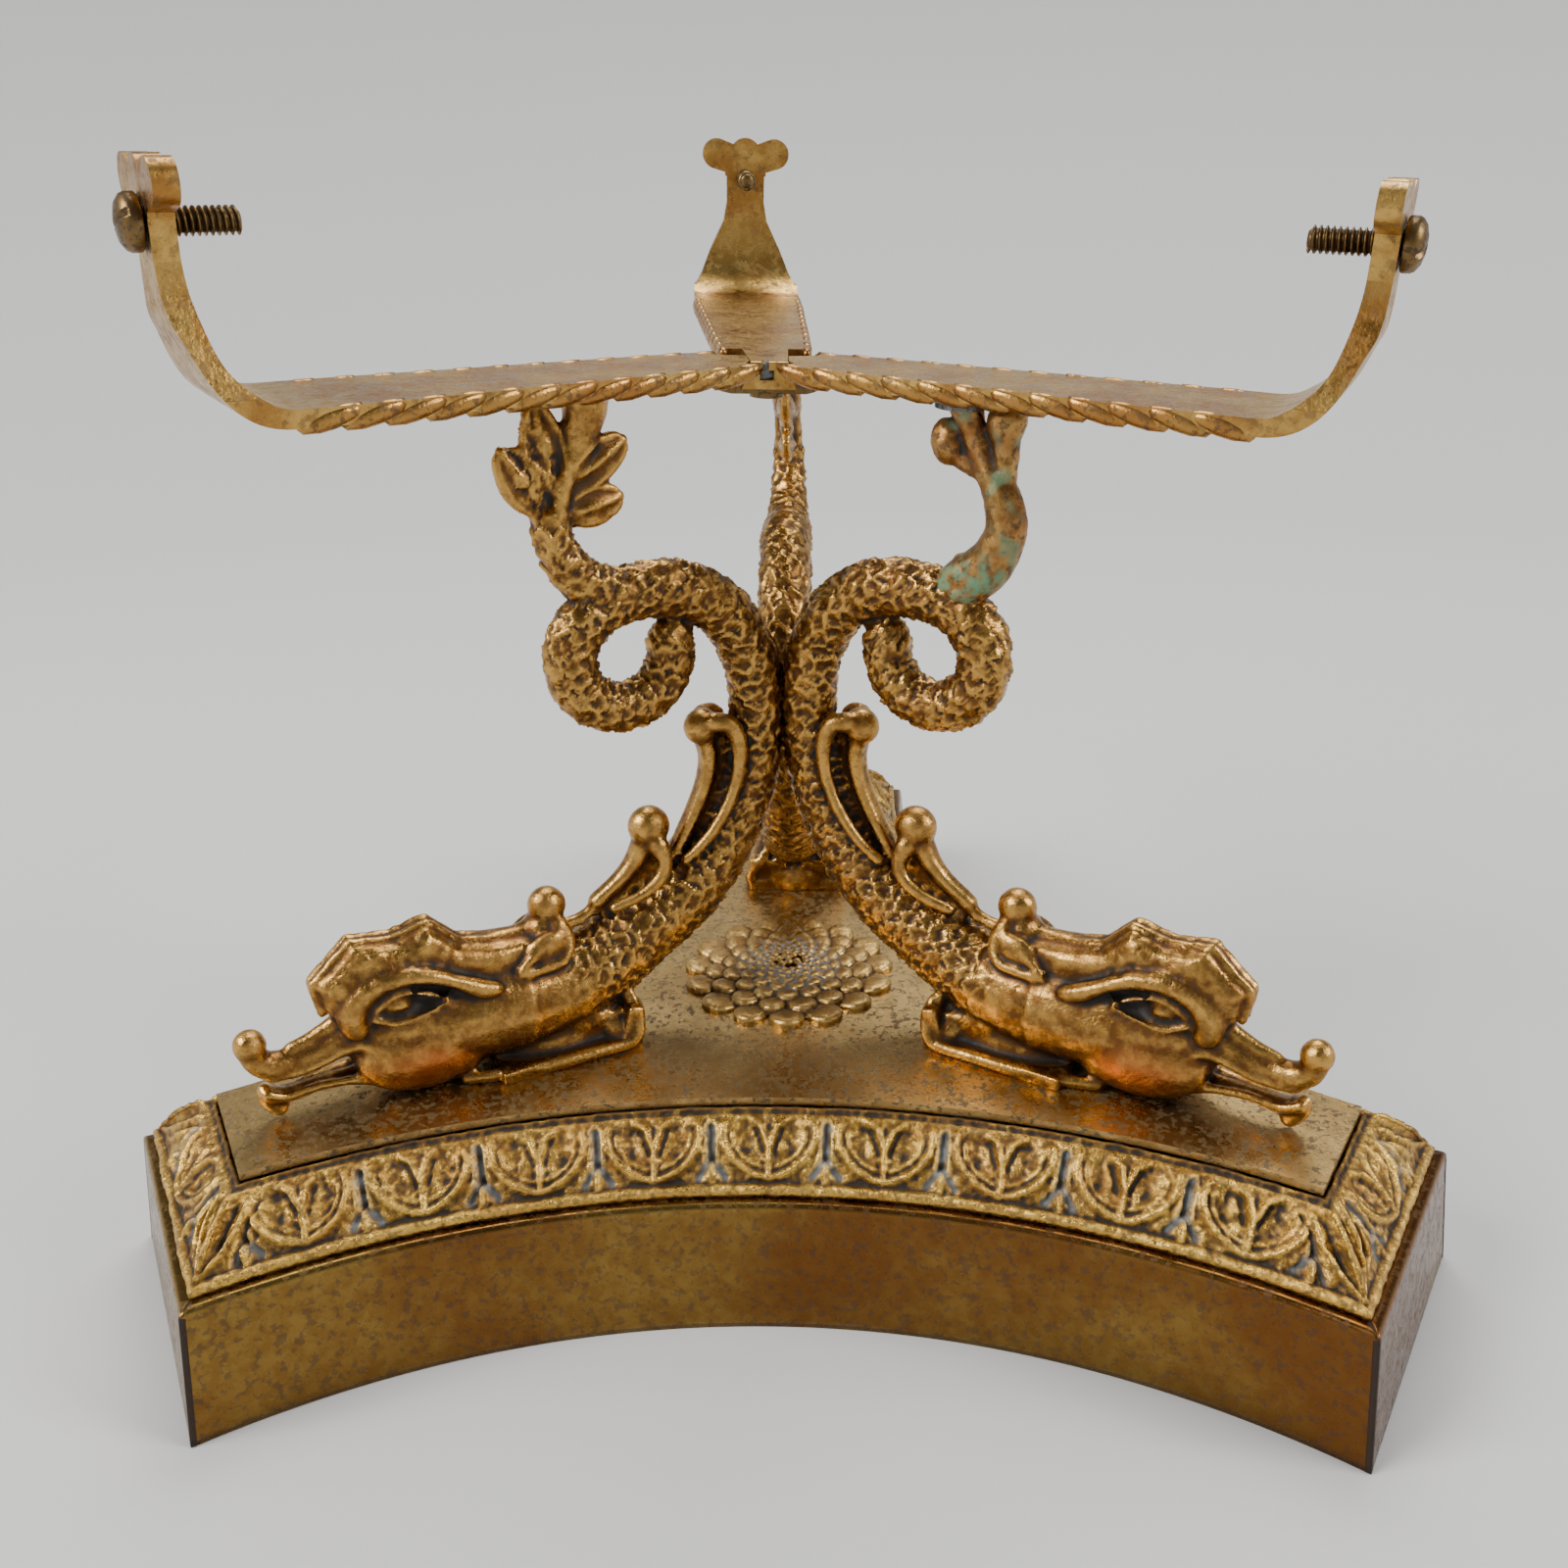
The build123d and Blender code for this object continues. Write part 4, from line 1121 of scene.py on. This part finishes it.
def make_notch_solder():
    """A few lumps that ran together."""
    bm = bmesh.new()
    for y, z in ((0.2, -1.0), (0.9, -1.6), (0.1, -2.6), (0.9, -3.1)):
        blob(bm, (-7.9, y, z), (0.7, 1.5, 1.2))
    bmesh.ops.transform(bm, matrix=arm_matrix("back"), verts=bm.verts[:])
    lump = fuse(to_object("hub_notch_solder", bm), 0.25, melt=1)
    push(lump, 0.12 * grain(points_of(lump), 1.2))
    finish_piece(lump, SOLDER, "stand", gain=0.0)


make_hub_flat()
make_notch_solder()

# %% [markdown]
# ## The clamp screws
# Each screw is turned brass with a coarse thread and a slotted head. The thread is one small
# tooth swept round the shank: the spin operator lifts it by one pitch for every turn.

# %% The clamp screws
UPRIGHT_R, UPRIGHT_T = 117.7, 4.2
SCREW_R, SCREW_IN, THREAD = 2.38, 11.2, 1.058
HEAD_R, HEAD_H, HEAD_GAP = 4.65, 3.7, 0.3
TOOTH, SLOT, SLOT_TURN = 0.55, (1.1, 3.0), 115


def make_screw(name):
    """Shank, thread and slotted head, made upright along z and laid along the arm."""
    seat = UPRIGHT_R + UPRIGHT_T / 2 + HEAD_GAP
    tip = UPRIGHT_R - UPRIGHT_T / 2 - SCREW_IN
    core = SCREW_R - TOOTH
    dome = [(1.0, 0.45), (0.93, 0.64), (0.7, 0.85), (0.36, 0.96), (0.0, 1.0)]
    line = [(0, tip), (core - 0.4, tip), (core, tip + 0.5), (core, seat), (HEAD_R - 0.3, seat),
            (HEAD_R, seat + 0.3)] + [(HEAD_R * out, seat + HEAD_H * up) for out, up in dome]
    body = to_object(f"clamp_screw_{name}_turned", lathe(line, 48))
    slot = bmesh.new()
    slab(slot, (0, 0, seat + HEAD_H), (4 * HEAD_R, *SLOT), SLOT_TURN, "Z")
    cut_away(body, slot)
    turns = (seat - tip - 1.4) / THREAD
    tooth = bmesh.new()
    ring = [tooth.verts.new((x, 0, tip + 0.3 + z)) for x, z in
            ((core - 0.1, -0.42), (SCREW_R, -0.08), (SCREW_R, 0.08), (core - 0.1, 0.42))]
    sides = [tooth.edges.new(pair) for pair in zip(ring, ring[1:] + ring[:1])]
    steps = int(turns * 30)
    bmesh.ops.spin(tooth, geom=ring + sides, cent=(0, 0, 0), axis=(0, 0, 1), angle=2 * pi * turns,
                   dvec=(0, 0, THREAD * turns / steps), steps=steps)
    bmesh.ops.holes_fill(tooth, edges=[e for e in tooth.edges if e.is_boundary], sides=0)
    bmesh.ops.recalc_face_normals(tooth, faces=tooth.faces[:])
    whole = bmesh.new()
    whole.from_mesh(body.data)
    join(whole, tooth)
    bpy.data.objects.remove(body)
    lay = arm_matrix(name) @ placed((0, 0, SCREW_UP), (1, 1, 1), 90)
    bmesh.ops.transform(whole, matrix=lay, verts=whole.verts[:])
    return finish_piece(to_object(f"clamp_screw_{name}_turned", whole), BRONZE, f"screw_{name}",
                        (f"clamp_screw_{name}",), gain=0.8)


for name in ENDS:
    make_screw(name)

# %% [markdown]
# ## Finishes for the parts that keep their CAD shape
# The plate, the arms and the small fixings were right as drawn, so each only takes its finish.

# %% Give the CAD parts their finishes
KEPT = {"top_plate": PLATE, "arm_left": ARM, "arm_right": ARM, "arm_back": ARM, "hub_disc": BRONZE,
        "hub_rivet": BRONZE, "tail_solder": SOLDER, "rosette_nut": STEEL,
        "dolphin_screws": STEEL, "dolphin_washers": STEEL}
for node, finish in KEPT.items():
    thing = frame["nodes"][node]
    if not thing.material_slots:
        thing.data.materials.append(finish)
    for slot in thing.material_slots:
        slot.material = finish
print(len(KEPT), "nodes keep their CAD shape")

# %% [markdown]
# ## The floor and the light
# A pale floor that curves up all round, a soft light from the left, a weaker one from the right
# and one overhead. Polished metal shows what is round it, so the room is a soft grey, not white.

# %% Floor and backdrop
def sweep(verts, start=0.75, bend=0.6):
    """Bend the far part of the floor up into a backdrop, all the way round."""
    for v in verts:
        far = max(0.0, v.co.xy.length - start)
        v.co.z += bend * far * far


sheet = bmesh.new()
bmesh.ops.create_grid(sheet, x_segments=90, y_segments=90, size=3.2)
sweep(sheet.verts)
bmesh.ops.translate(sheet, vec=(0, 0, -0.0002), verts=sheet.verts[:])
floor = to_object("floor", sheet)
floor.data.shade_smooth()
paper = bpy.data.materials.new("matt_pale_paper")
paper.use_nodes = True
paper.node_tree.nodes["Principled BSDF"].inputs["Base Color"].default_value = colour("c4c3c1")
paper.node_tree.nodes["Principled BSDF"].inputs["Roughness"].default_value = 0.85
floor.data.materials.append(paper)
print("floor", [round(side, 2) for side in floor.dimensions], "m")

# %% Lights
def lamp(name, spot, size, watts):
    """A square soft light that faces the middle of the stand."""
    light = bpy.data.lights.new(name, "AREA")
    light.size, light.energy = size, watts
    stand = bpy.data.objects.new(name, light)
    bpy.context.scene.collection.objects.link(stand)
    aim = (Vector((0, 0, 0.1)) - Vector(spot)).to_track_quat("-Z", "Y").to_matrix().to_4x4()
    stand.matrix_world = Matrix.Translation(spot) @ aim


lamp("window_left", (-1.1, -0.5, 1.1), 0.7, 28)
lamp("window_right", (1.2, -0.3, 0.9), 0.5, 15)
lamp("overhead", (0.1, 0.7, 1.5), 1.0, 22)
world = bpy.data.worlds.new("soft_room")
bpy.context.scene.world = world
world.use_nodes = True
world.node_tree.nodes["Background"].inputs["Color"].default_value = colour("b9c3cf")
world.node_tree.nodes["Background"].inputs["Strength"].default_value = 0.45
print(len(bpy.data.lights), "lights and a soft grey room")
